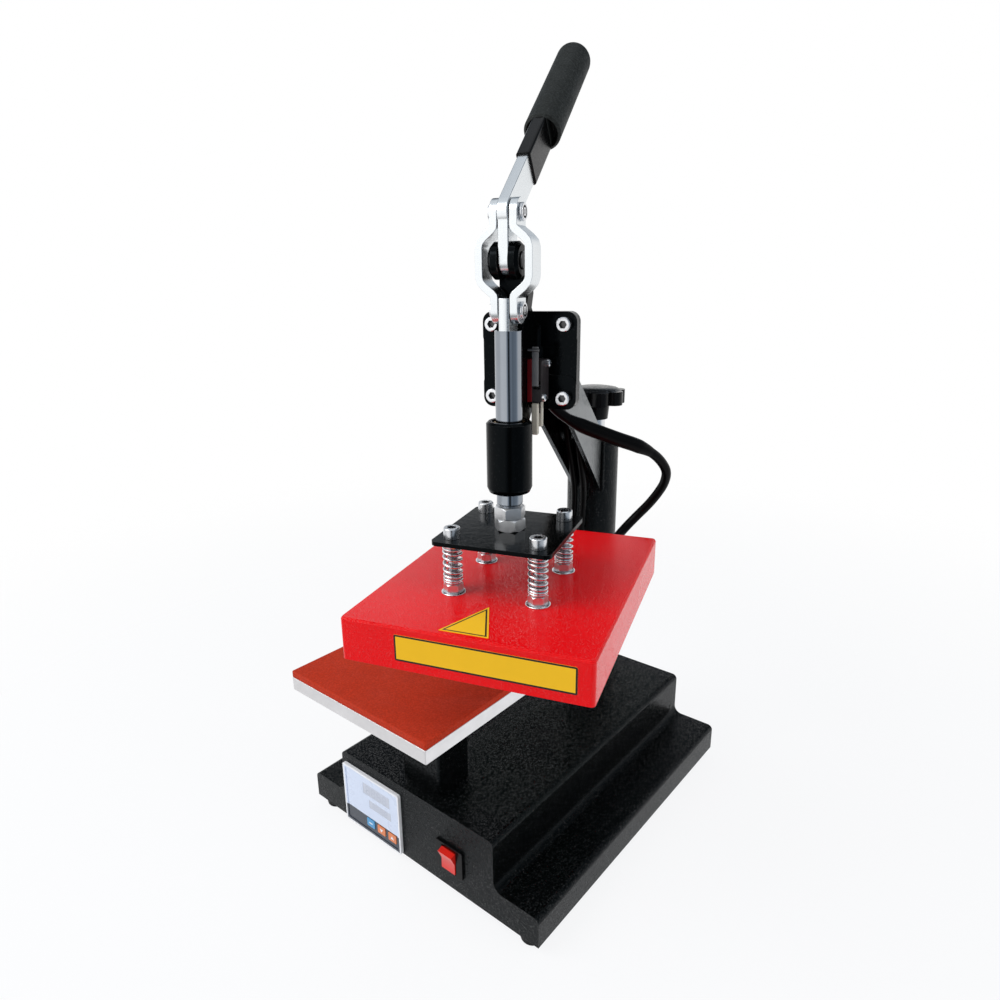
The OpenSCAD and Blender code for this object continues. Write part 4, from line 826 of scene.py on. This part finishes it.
class PRESS_OT_stage(bpy.types.Operator):
    """Sets up the camera, the lamps, the room light and the pale floor"""

    bl_idname = "press.stage"
    bl_label = "Stage"

    # The photo's viewing point, its angles and its lens on a sensor 36 mm wide
    eye = (0.36927, -0.47453, 0.47533)
    yaw, pitch, roll = math.radians(39.81), math.radians(16.87), math.radians(-0.71)
    lens = 25.2925

    # Colours of the room light, the backdrop, the floor's glow and the room's dim parts in reflections
    daylight = (0.96, 0.98, 1.0, 1.0)
    white = (1.0, 1.0, 1.0, 1.0)
    floor_glow = (0.985, 0.99, 1.0, 1.0)
    cool = (0.82, 0.98, 1.16, 1.0)

    # Ways towards the operator and to the operator's side, in reflections
    ahead_way = (0.64, -0.77, 0.0)
    across_way = (0.77, 0.64, 0.0)

    # Tones across the operator's side: a bright wall at the left of a dark doorway, between two end tones
    wall_tones = ((0.3, 1.2), (0.4, 0.4), (0.46, 0.03), (0.55, 0.04), (0.63, 0.45), (0.75, 0.3))
    wall_ends = (1.3, 0.4)

    # Heights in reflections where the backdrop ends, the windows fade and the panel overhead begins
    backdrop_end = (0.27, 0.36)
    window_fade = (0.36, 0.66)
    panel_start = (0.72, 0.88)
    # Middle of the dark strip between the windows, and how far its edges are from there
    strip_middle = 0.04
    strip_edge = (0.07, 0.19)
    # Levels of the windows from low to high, of the right one to the left one, of the panel and of the hall
    window_level = (0.75, 0.08)
    right_share = 0.6
    panel_level = 0.8
    hall_level = 0.03

    # The floor's radius, where it fades, its lift towards the backdrop and its end in reflections
    floor_radius = 1.6
    floor_fade = (0.35, 1.3)
    floor_lift = 0.88
    floor_end = (-0.5, -0.32)

    def camera(self):
        """The photo's viewing angle."""
        level = Vector((-math.sin(self.yaw), math.cos(self.yaw), 0.0))
        ahead = level * math.cos(self.pitch) - Vector((0.0, 0.0, math.sin(self.pitch)))
        right = Vector((math.cos(self.yaw), math.sin(self.yaw), 0.0))
        up = right.cross(ahead)
        turn = Matrix((right, up, -ahead)).transposed().to_4x4()
        data = bpy.data.cameras.new("camera")
        data.sensor_width = 36.0
        data.lens = self.lens
        data.clip_start = 0.01
        view = bpy.data.objects.new("camera", data)
        view.matrix_world = Matrix.Translation(self.eye) @ turn @ Matrix.Rotation(self.roll, 4, "Z")
        bpy.context.scene.collection.objects.link(view)
        bpy.context.scene.camera = view

    def lamp(self, name, place, target, size, power, mirrored=True):
        """A soft square lamp that faces a point, seen in mirrors or not."""
        data = bpy.data.lights.new(name, "AREA")
        data.shape = "RECTANGLE"
        data.size, data.size_y = size
        data.energy = power
        lamp = bpy.data.objects.new(name, data)
        aim = (Vector(target) - Vector(place)).to_track_quat("-Z", "Y")
        lamp.matrix_world = Matrix.Translation(place) @ aim.to_matrix().to_4x4()
        lamp.visible_glossy = mirrored
        bpy.context.scene.collection.objects.link(lamp)

    def hall(self, tree):
        """The room in reflections: the backdrop, a dim hall above it with a pale window at each side,
        a pale panel overhead and the wall on the operator's side."""
        way = add(tree, "ShaderNodeTexCoord").outputs["Generated"]

        def along(axis):
            share = add(tree, "ShaderNodeVectorMath", {0: way, 1: axis}, operation="DOT_PRODUCT")
            return share.outputs["Value"]

        across = along(self.across_way)
        rise = add(tree, "ShaderNodeSeparateXYZ", {0: way}).outputs["Z"]
        wall = add(tree, "ShaderNodeValToRGB", {0: remap(tree, across, -1.0, 1.0)})
        stops = wall.color_ramp.elements
        for place, tone in self.wall_tones:
            stops.new(place).color = (tone, tone, tone, 1.0)
        for stop, tone in zip((stops[0], stops[-1]), self.wall_ends):
            stop.color = (tone, tone, tone, 1.0)
        aside = maths(tree, "ABSOLUTE", maths(tree, "SUBTRACT", across, self.strip_middle))
        window = remap(tree, aside, *self.strip_edge, smooth=True)
        window = maths(tree, "MULTIPLY", window, remap(tree, across, -0.05, 0.1, 1.0, self.right_share))
        height = remap(tree, rise, *self.window_fade, *self.window_level, smooth=True)
        pane = maths(tree, "MULTIPLY_ADD", window, height, self.hall_level)
        back = mix_value(tree, remap(tree, rise, *self.backdrop_end, smooth=True), 1.0, pane)
        front = remap(tree, along(self.ahead_way), 0.0, 0.5, smooth=True)
        glow = mix_value(tree, front, back, wall.outputs[0])
        panel = remap(tree, rise, *self.panel_start, 0.0, self.panel_level, smooth=True)
        glow = maths(tree, "MAXIMUM", glow, panel)
        shade = mix_colour(tree, remap(tree, glow, 0.3, 1.0, 1.0, 0.0), self.white, self.cool)
        return put(tree, "ShaderNodeBackground", {"Color": shade, "Strength": glow})

    def room(self, level):
        """White all round for the camera, a hall for reflections and a softer light."""
        world = bpy.data.worlds.new("room")
        bpy.context.scene.world = world
        world.use_nodes = True
        tree = world.node_tree
        tree.nodes.clear()
        rays = add(tree, "ShaderNodeLightPath").outputs
        seen = maths(tree, "MAXIMUM", rays["Is Camera Ray"], rays["Is Glossy Ray"])
        seen = maths(tree, "MAXIMUM", seen, rays["Is Transmission Ray"])
        light = put(tree, "ShaderNodeBackground", {"Color": self.daylight, "Strength": level})
        backdrop = put(tree, "ShaderNodeBackground", {"Color": self.white, "Strength": 1.0})
        mirrored = mix_shader(tree, rays["Is Camera Ray"], self.hall(tree), backdrop)
        add(tree, "ShaderNodeOutputWorld", {"Surface": mix_shader(tree, seen, light, mirrored)})

    def floor(self, colour):
        """A round pale floor that fades into the white."""
        bm = bmesh.new()
        bmesh.ops.create_circle(bm, cap_ends=True, segments=96, radius=self.floor_radius)
        material = bpy.data.materials.new("floor")
        material.use_nodes = True
        tree = material.node_tree
        tree.nodes.clear()
        place = add(tree, "ShaderNodeTexCoord").outputs["Object"]
        reach = add(tree, "ShaderNodeVectorMath", {0: place}, operation="LENGTH").outputs["Value"]
        speck = remap(tree, noise(tree, place, 120.0, 3.0), 0.3, 0.7, 0.0, 0.06)
        tone = mix_colour(tree, speck, opaque(colour), darker(colour, 0.3))
        matt = put(tree, "ShaderNodeBsdfDiffuse", {"Color": tone})
        # The camera and mirrors see the floor lifted towards the backdrop, with its shadow kept
        rays = add(tree, "ShaderNodeLightPath").outputs
        seen = maths(tree, "MAXIMUM", rays["Is Camera Ray"], rays["Is Glossy Ray"])
        lift = maths(tree, "MULTIPLY", seen, self.floor_lift)
        # In mirrors the pale floor ends in front of the press
        front = add(tree, "ShaderNodeSeparateXYZ", {0: place}).outputs["Y"]
        level = remap(tree, front, *self.floor_end, 0.06, 1.0, smooth=True)
        level = maths(tree, "MAXIMUM", level, rays["Is Camera Ray"])
        glow = put(tree, "ShaderNodeEmission", {"Color": self.floor_glow, "Strength": level})
        pale = mix_shader(tree, lift, matt, glow)
        fade = remap(tree, reach, *self.floor_fade, smooth=True)
        clear = put(tree, "ShaderNodeBsdfTransparent")
        add(tree, "ShaderNodeOutputMaterial", {"Surface": mix_shader(tree, fade, pale, clear)})
        piece_from("floor", bm, material)

    def execute(self, context):
        stage = context.scene.press_stage
        context.scene.view_settings.view_transform = "Standard"
        self.camera()
        self.room(stage.room_level)
        self.lamp(
            "key_lamp", place=(-0.55, -1.0, 1.15), target=(0.0, 0.0, 0.2), size=(1.0, 0.8),
            power=stage.key_level)
        self.lamp(
            "fill_lamp", place=(1.3, 0.1, 0.9), target=(0.0, 0.0, 0.25), size=(0.9, 0.9),
            power=stage.fill_level, mirrored=False)
        self.floor(stage.floor_colour)
        return {"FINISHED"}


class PRESS_OT_cords(bpy.types.Operator):
    """Lays the heater cable and the two leads along the routes of their solids"""

    bl_idname = "press.cords"
    bl_label = "Cables"

    # Routes in mm in the head's axes
    heater_route = (
        (45, -112, 259.5), (45, -100, 259.5), (45, -91, 260), (47, -82, 262.5), (52, -76, 268.5),
        (60, -73, 278), (69, -74, 289), (77, -78, 301), (83, -84, 313), (85, -92, 325),
        (81, -101, 336), (74, -111, 345), (64, -121, 352), (52, -131, 358), (40, -140, 364),
        (28, -148, 370), (17, -156, 377), (8, -163, 386), (2, -169, 397), (0, -173, 409), (0, -176, 420))
    lead_route = (
        (-4.5, -118, 394), (-4.5, -106, 386), (-4.5, -95, 376), (-5, -84, 361), (-6, -74, 344),
        (-6, -65, 327), (-6, -56, 310), (-6.5, -47, 294), (-8, -39, 278), (-10, -33, 262),
        (-11.5, -30, 246), (-12, -29.5, 228), (-12, -29.5, 205), (-11.5, -30, 180), (-11, -31, 155),
        (-10, -34, 132), (-8.5, -39, 112), (-7, -45, 96), (-7, -46, 86), (-7, -46, 71))
    # Distance from the first lead to the second in mm, and the diameters of cable and leads in metres
    lead_shift = 9
    cable_wide = 0.008
    lead_wide = 0.006
    # Step on the heater route where the cable is cut in two, the part below it being the one that moves with
    # the plunger
    split = 6 * ROUTE_STEPS
    # First and last step under the sleeve, its end and middle diameters and the steps of its shrunk ends
    sleeve_span = (11 * ROUTE_STEPS, 16 * ROUTE_STEPS)
    sleeve_wide = (0.0083, 0.0116)
    sleeve_ease = 5

    def tube(self, name, path, diameters):
        """A smooth tube in the cables' finish."""
        sides = bpy.context.scene.press_sizes.cable_sides
        tube = piece_from(name, sweep(path, diameters, sides), finish_of("cable"))
        return smooth(tube, angle=60.0, weighted=False)

    def sleeve(self, path):
        """A shrunk sleeve round the heater cable where it leaves the arm."""
        last = len(path) - 1
        thin, thick = self.sleeve_wide
        full = [min(i, last - i, self.sleeve_ease) / self.sleeve_ease for i in range(last + 1)]
        sleeve = self.tube("cable_sleeve", path, [thin + (thick - thin) * share for share in full])
        return sleeve

    def lay(self, name, path, diameter, node, stiffness, lay):
        """One cable as a tube that goes back into the press at its far end."""
        cable = self.tube(name, path, [diameter] * len(path))
        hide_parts(node)
        path_length(path)
        return cable

    def execute(self, context):
        whole = curve_through(self.heater_route)
        below, above = whole[:self.split + 1], whole[:self.split - 1:-1]
        lower = self.lay("heater_cable_lower", below, self.cable_wide, "heater_cable", "stiff", "loose")
        upper = self.lay("heater_cable_upper", above, self.cable_wide, "heater_cable", "stiff", "loose")
        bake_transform(lower)
        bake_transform(upper)
        first, last = self.sleeve_span
        covered = self.sleeve(whole[first:last + 1])
        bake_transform(covered)
        for number in (0, 1):
            route = [(x + number * self.lead_shift, y, z) for x, y, z in self.lead_route]
            name = "post_lead_%d" % (number + 1)
            lead = self.lay(name, curve_through(route), self.lead_wide, "post_leads", "medium", "hanging")
            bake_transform(lead)
        return {"FINISHED"}


class PRESS_OT_base(bpy.types.Operator):
    """Dresses the base box, its feet and what is inside and behind it"""

    bl_idname = "press.base"
    bl_label = "Base"

    def execute(self, context):
        dress("base_shell", 0.0009, 3)
        dress("base_floor", 0.0004)
        dress("rubber_feet", 0.0012, 3)
        dress("foot_screws", 0.0003)
        dress("power_inlet", 0.0005)
        dress("solid_state_relay", 0.0006)
        dress("terminal_block", 0.0004)
        dress("lead_grommet", 0.0008, 3)
        return {"FINISHED"}


class PRESS_OT_controls(bpy.types.Operator):
    """Dresses the temperature controller and the power switch"""

    bl_idname = "press.controls"
    bl_label = "Controls"

    # Middles of the two windows as X and Z, their digits' height and the digits in each
    windows = ((-0.042, 0.0541, 0.0078, 4), (-0.038, 0.0403, 0.0056, 4))
    # Width of the white rim round the film
    rim = 0.0016
    # Outlines of the marks on the keys, round their middles, and their thickness
    arrow = ((0.0, 0.0018), (-0.0022, -0.0014), (0.0022, -0.0014))
    bar = ((-0.0022, -0.0006), (0.0022, 0.0006))
    mark_thick = 0.00008

    def film(self):
        """The controller's case and film: a slim white rim, and a dark strip below the windows."""
        case = dress("controller_case", 0.0007, 3)
        film = dress("controller_face", 0.00015)
        dark = moulded("panel_strip", rough=0.25, depth=0.000008, drift=0.1)
        low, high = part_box("controller_case")
        left, right = low[0] + self.rim, high[0] - self.rim
        foot, head = low[2] + self.rim, high[2] - self.rim
        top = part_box("key_set")[1][2]
        cuts = [((x, 0, 0), (1, 0, 0)) for x in (left, right)]
        cuts += [((0, 0, z), (0, 0, 1)) for z in (foot, head, top)]

        def pick(place):
            inside = left < place.x < right and foot < place.z < head and place.y < low[1] + self.rim
            return (2 if place.z < top else 1) if inside else 0

        for piece in (case, film):
            piece.data.materials.clear()
            for material in (finish_of("white_plastic"), finish_of("panel_face"), dark):
                piece.data.materials.append(material)
            cut_up(piece, cuts, pick)

    def digits(self, bar):
        """The unlit bars of the digits behind the two windows."""
        tree = digit_tree()
        unlit = moulded("unlit_bars", rough=0.3, depth=0.000004, drift=0.05)
        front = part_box("display_windows")[0][1]
        for number, (x, z, height, count) in enumerate(self.windows):
            row = grown("unlit_digits_%d" % (number + 1), tree, {
                "Count": count, "Height": height, "Bar": bar * height, "Material": unlit},
                Matrix.Translation((x, front, z)) @ UPRIGHT)
            add_on(row, "base")

    def mark(self, key):
        """A plain arrow or bar on a key."""
        low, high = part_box(key)
        x, z = (low[0] + high[0]) / 2, (low[2] + high[2]) / 2
        outline = {
            "key_set": round_outline(*self.bar, radius=0.0004),
            "key_down": [(-x, -y) for x, y in self.arrow],
            "key_up": self.arrow}[key]
        bm = plate_mesh(outline, self.mark_thick, (), Matrix.Translation((x, low[1], z)) @ UPRIGHT)
        add_on(piece_from(key + "_mark", bm, finish_of("white_plastic")), BODY_OF[key])

    def execute(self, context):
        self.film()
        dress("display_windows", 0.0002)
        self.digits(context.scene.press_sizes.digit_bar)
        for key in ("key_set", "key_down", "key_up"):
            dress(key, 0.0004, 3)
            self.mark(key)
        dress("rocker_frame", 0.0006, 3)
        dress("rocker_cap", 0.0007, 3)
        return {"FINISHED"}


class PRESS_OT_platen(bpy.types.Operator):
    """Dresses the pedestal, the lower platen and its pad"""

    bl_idname = "press.platen"
    bl_label = "Lower platen"

    def execute(self, context):
        dress("pedestal", 0.0006)
        dress("pedestal_bolts", 0.0003)
        dress("lower_platen", 0.0006, 3)
        dress("platen_screws", 0.0003)
        pad = dress("silicone_pad", 0.0009, 4)
        return {"FINISHED"}


class PRESS_OT_post(bpy.types.Operator):
    """Dresses the pivot, the swing post, the arm and the knob"""

    bl_idname = "press.post"
    bl_label = "Post and arm"

    # Foot and head of the weld between the arm's right cheek and the post, in the head's axes
    weld = ((0.0147, -0.0211, 0.284), (0.0147, -0.0211, 0.330))

    def welds(self, sizes):
        """The two weld beads that join the arm to the post."""
        tree = weld_tree()
        for number, side in enumerate((1, -1)):
            line = [HEAD @ Vector((side * x, y, z)) for x, y, z in self.weld]
            bead = grown("weld_%d" % (number + 1), tree, {
                "Ripple": sizes.bead_length, "Bead radius": sizes.weld_radius,
                "Material": finish_of("black_powder")}, points=line)
            add_on(bead, "head")

    def execute(self, context):
        for node in ("pivot_shaft", "pivot_screws", "thrust_washer", "post_bushes", "knob_stud"):
            dress(node)
        dress("swing_post", 0.0008, 3)
        colours = context.scene.press_finishes
        satin = coated(
            "black_satin", colours.black_powder, grain=0.0021, peel=0.006, share=0.3, depth=0.0001, rough=0.2,
            specular=0.9, rub=0.05, sheen=colours.black_sheen)
        dress("arm_channel", 0.0008, 3, satin)
        self.welds(context.scene.press_sizes)
        dress("mounting_plate", 0.0006, 3)
        dress("clamp_knob", 0.0012, 4)
        return {"FINISHED"}


class PRESS_OT_clamp(bpy.types.Operator):
    """Dresses the cast clamp body, its screws and the limit switch"""

    bl_idname = "press.clamp"
    bl_label = "Clamp"

    # Corners of the switch's red half and of the sleeves on its tags, in the plunger's axes
    red_half = ((0.0061, 0.0193, 0.3999), (0.0095, 0.0352, 0.4281))
    sleeves = (
        ((0.0088, 0.0199, 0.3770), (0.0134, 0.0239, 0.3990)),
        ((0.0088, 0.0299, 0.3810), (0.0134, 0.0339, 0.3990)))

    def trim(self, name, corners, width, segments, material, slot):
        """A rounded block on the limit switch."""
        bm = box_mesh(*corners, PLUNGER)
        rounded(bm, width, segments)
        add_on(smooth(piece_from(name, bm, material)), "head")

    def execute(self, context):
        dress("clamp_bracket", 0.0009, 3)
        for node in ("clamp_screws", "guide_bush", "fulcrum_pin"):
            dress(node)
        case = moulded("switch_case", rough=0.4, depth=0.00003, specular=0.3)
        dress("limit_switch", 0.0004, material=case)
        red = moulded("switch_red", rough=0.35, depth=0.00002, specular=0.2)
        self.trim("switch_half", self.red_half, 0.0003, 2, red, "red_rocker")
        clear = moulded("tag_sleeve", rough=0.3, depth=0.00003, specular=0.3)
        for number, corners in enumerate(self.sleeves):
            self.trim("tag_sleeve_%d" % (number + 1), corners, 0.0009, 3, clear, "white_plastic")
        dress("switch_screws", 0.0003)
        dress("switch_lever", 0.0002, material=finish_of("dark_steel"))
        return {"FINISHED"}


class PRESS_OT_lever(bpy.types.Operator):
    """Dresses the hand lever, its grip and the two bent links"""

    bl_idname = "press.lever"
    bl_label = "Lever and links"

    pin_radius = 0.005

    def execute(self, context):
        dress("lever_bar", 0.0007, 3)
        dress("lever_sheath", 0.0006, 3)
        dress("lever_grip", 0.0022, 4)
        dress("link_left", 0.0007, 3)
        dress("link_right", 0.0007, 3)
        # Painted shade: a near-black finish for the ring and slot on the pins' ends
        painted_shade = moulded("pin_grime", rough=0.6, depth=0.00002, specular=0.02)
        for pin in ("crank_pin", "link_rivets"):
            dress(pin)
            pin_ends(pin, self.pin_radius, painted_shade)
        return {"FINISHED"}


class PRESS_OT_ram(bpy.types.Operator):
    """Dresses the plunger, its nuts and the spring plate"""

    bl_idname = "press.ram"
    bl_label = "Plunger"

    # Height at which the round part ends and the tongue begins; below it the plunger takes the darker steel
    # with painted shade
    shoulder = 0.4485

    def execute(self, context):
        # Painted shade: the round part gets a much darker steel than the tongue above, which keeps the plated
        # steel
        steel = metal(
            "ground_steel", rough=0.1, stretch=(1.0, 1.0, 0.02), line=0.0012, depth=0.000012, drift=0.2)
        plunger = dress("plunger", 0.0004, material=steel)
        plunger.data.materials.append(finish_of("plated_steel"))
        cut = ((0, 0, self.shoulder), (0, 0, 1))
        cut_up(plunger, [cut], lambda place: int(place.z > self.shoulder))
        dress("tongue_pin")
        dress("lock_nuts", 0.0004, material=finish_of("nut_zinc"))
        dress("spring_plate", 0.0006, 3)
        return {"FINISHED"}


class PRESS_OT_springs(bpy.types.Operator):
    """Winds the four pressure springs between the spring plate and the cover"""

    bl_idname = "press.springs"
    bl_label = "Springs"

    # Way that the heater floats up under the spring plate
    travel = 0.01

    def execute(self, context):
        sizes = context.scene.press_sizes
        low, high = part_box("pressure_springs")
        height = high[2] - low[2]
        wire = sizes.spring_wire / 2
        springs = grown("pressure_springs_look", spring_tree(), {
            "Coil radius": sizes.spring_width / 2 - wire, "Wire radius": wire, "Height": height,
            "Turns": float(sizes.spring_turns), "Pitch": sizes.spring_pitch, "Material": finish_of("zinc")},
            PLUNGER @ Matrix.Translation((0, 0, low[2])))
        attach(springs, "ram")
        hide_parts("pressure_springs")
        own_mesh(springs)
        return {"FINISHED"}


class PRESS_OT_heater(bpy.types.Operator):
    """Dresses the heater under its red cover, and its guide bolts"""

    bl_idname = "press.heater"
    bl_label = "Heater"

    # Corners of the blank plates, in the plunger's axes, and their thickness
    front_plate = ((-0.0446, 0.251), (0.0738, 0.269))
    corner_plate = ((-0.0156, -0.0859), (0.0173, -0.0856), (0.002, -0.046))
    plate_thick = 0.0003
    # Frames from the rim in: the width, the material number and that of what is inside
    front_frames = ((0.0012, 1, 0),)
    corner_frames = ((0.0011, 0, 0), (0.0011, 1, 0))
    # The cover's front face and top
    cover_front = 0.0905
    cover_top = 0.2745

    def plates(self):
        """The two blank plates on the cover, with their borders."""
        yellow = moulded("plate_yellow", rough=0.35, depth=0.00001, specular=0.02, drift=0.1)
        line = moulded("plate_border", rough=0.35, depth=0.00001, drift=0.1)
        outline = round_outline(*self.front_plate, radius=0.0012)
        place = PLUNGER @ Matrix.Translation((0, -self.cover_front, 0)) @ UPRIGHT
        bm = plate_mesh(outline, self.plate_thick, self.front_frames, place)
        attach(piece_from("front_plate", bm, yellow, line), "heater")
        place = PLUNGER @ Matrix.Translation((0, 0, self.cover_top))
        bm = plate_mesh(self.corner_plate, self.plate_thick, self.corner_frames, place)
        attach(piece_from("corner_plate", bm, yellow, line), "heater")

    def execute(self, context):
        dress("heater_cover", 0.0014, 4)
        for node in ("insulation", "heating_element", "heating_plate", "temperature_probe", "cable_gland"):
            dress(node)
        for node in ("guide_bolts", "flange_washers"):
            dress(node, 0.0003)
        dress("cover_nuts", 0.0003, material=finish_of("nut_zinc"))
        self.plates()
        return {"FINISHED"}


class PRESS_PT_panel(bpy.types.Panel):
    """Lists the press's pieces and their sizes and colours"""

    bl_idname = "PRESS_PT_panel"
    bl_label = "Heat press"
    bl_space_type = "VIEW_3D"
    bl_region_type = "UI"
    bl_category = "Heat press"

    def draw(self, context):
        for operator in OPERATORS:
            self.layout.operator(operator.bl_idname)
        for setting in SETTINGS:
            group = getattr(context.scene, setting)
            box = self.layout.box()
            for name in group.bl_rna.properties.keys():
                if name not in ("rna_type", "name"):
                    box.prop(group, name)


OPERATORS = (
    PRESS_OT_stage, PRESS_OT_cords, PRESS_OT_base, PRESS_OT_controls, PRESS_OT_platen, PRESS_OT_post,
    PRESS_OT_clamp, PRESS_OT_lever, PRESS_OT_ram, PRESS_OT_springs, PRESS_OT_heater)
SETTINGS = {"press_finishes": PressFinishes, "press_sizes": PressSizes, "press_stage": PressStage}
CLASSES = tuple(SETTINGS.values()) + OPERATORS + (PRESS_PT_panel,)


def register():
    """Adds the classes and the scene's settings."""
    for cls in CLASSES:
        bpy.utils.register_class(cls)
    for name, group in SETTINGS.items():
        setattr(bpy.types.Scene, name, PointerProperty(type=group))


def unregister():
    """Takes the classes and settings away again."""
    for name in SETTINGS:
        delattr(bpy.types.Scene, name)
    for cls in reversed(CLASSES):
        bpy.utils.unregister_class(cls)


def main():
    """Builds the press."""
    register()
    make_finishes(bpy.context.scene.press_finishes)
    for operator in OPERATORS:
        getattr(bpy.ops.press, operator.bl_idname.split(".")[1])()


if __name__ == "__main__":
    main()
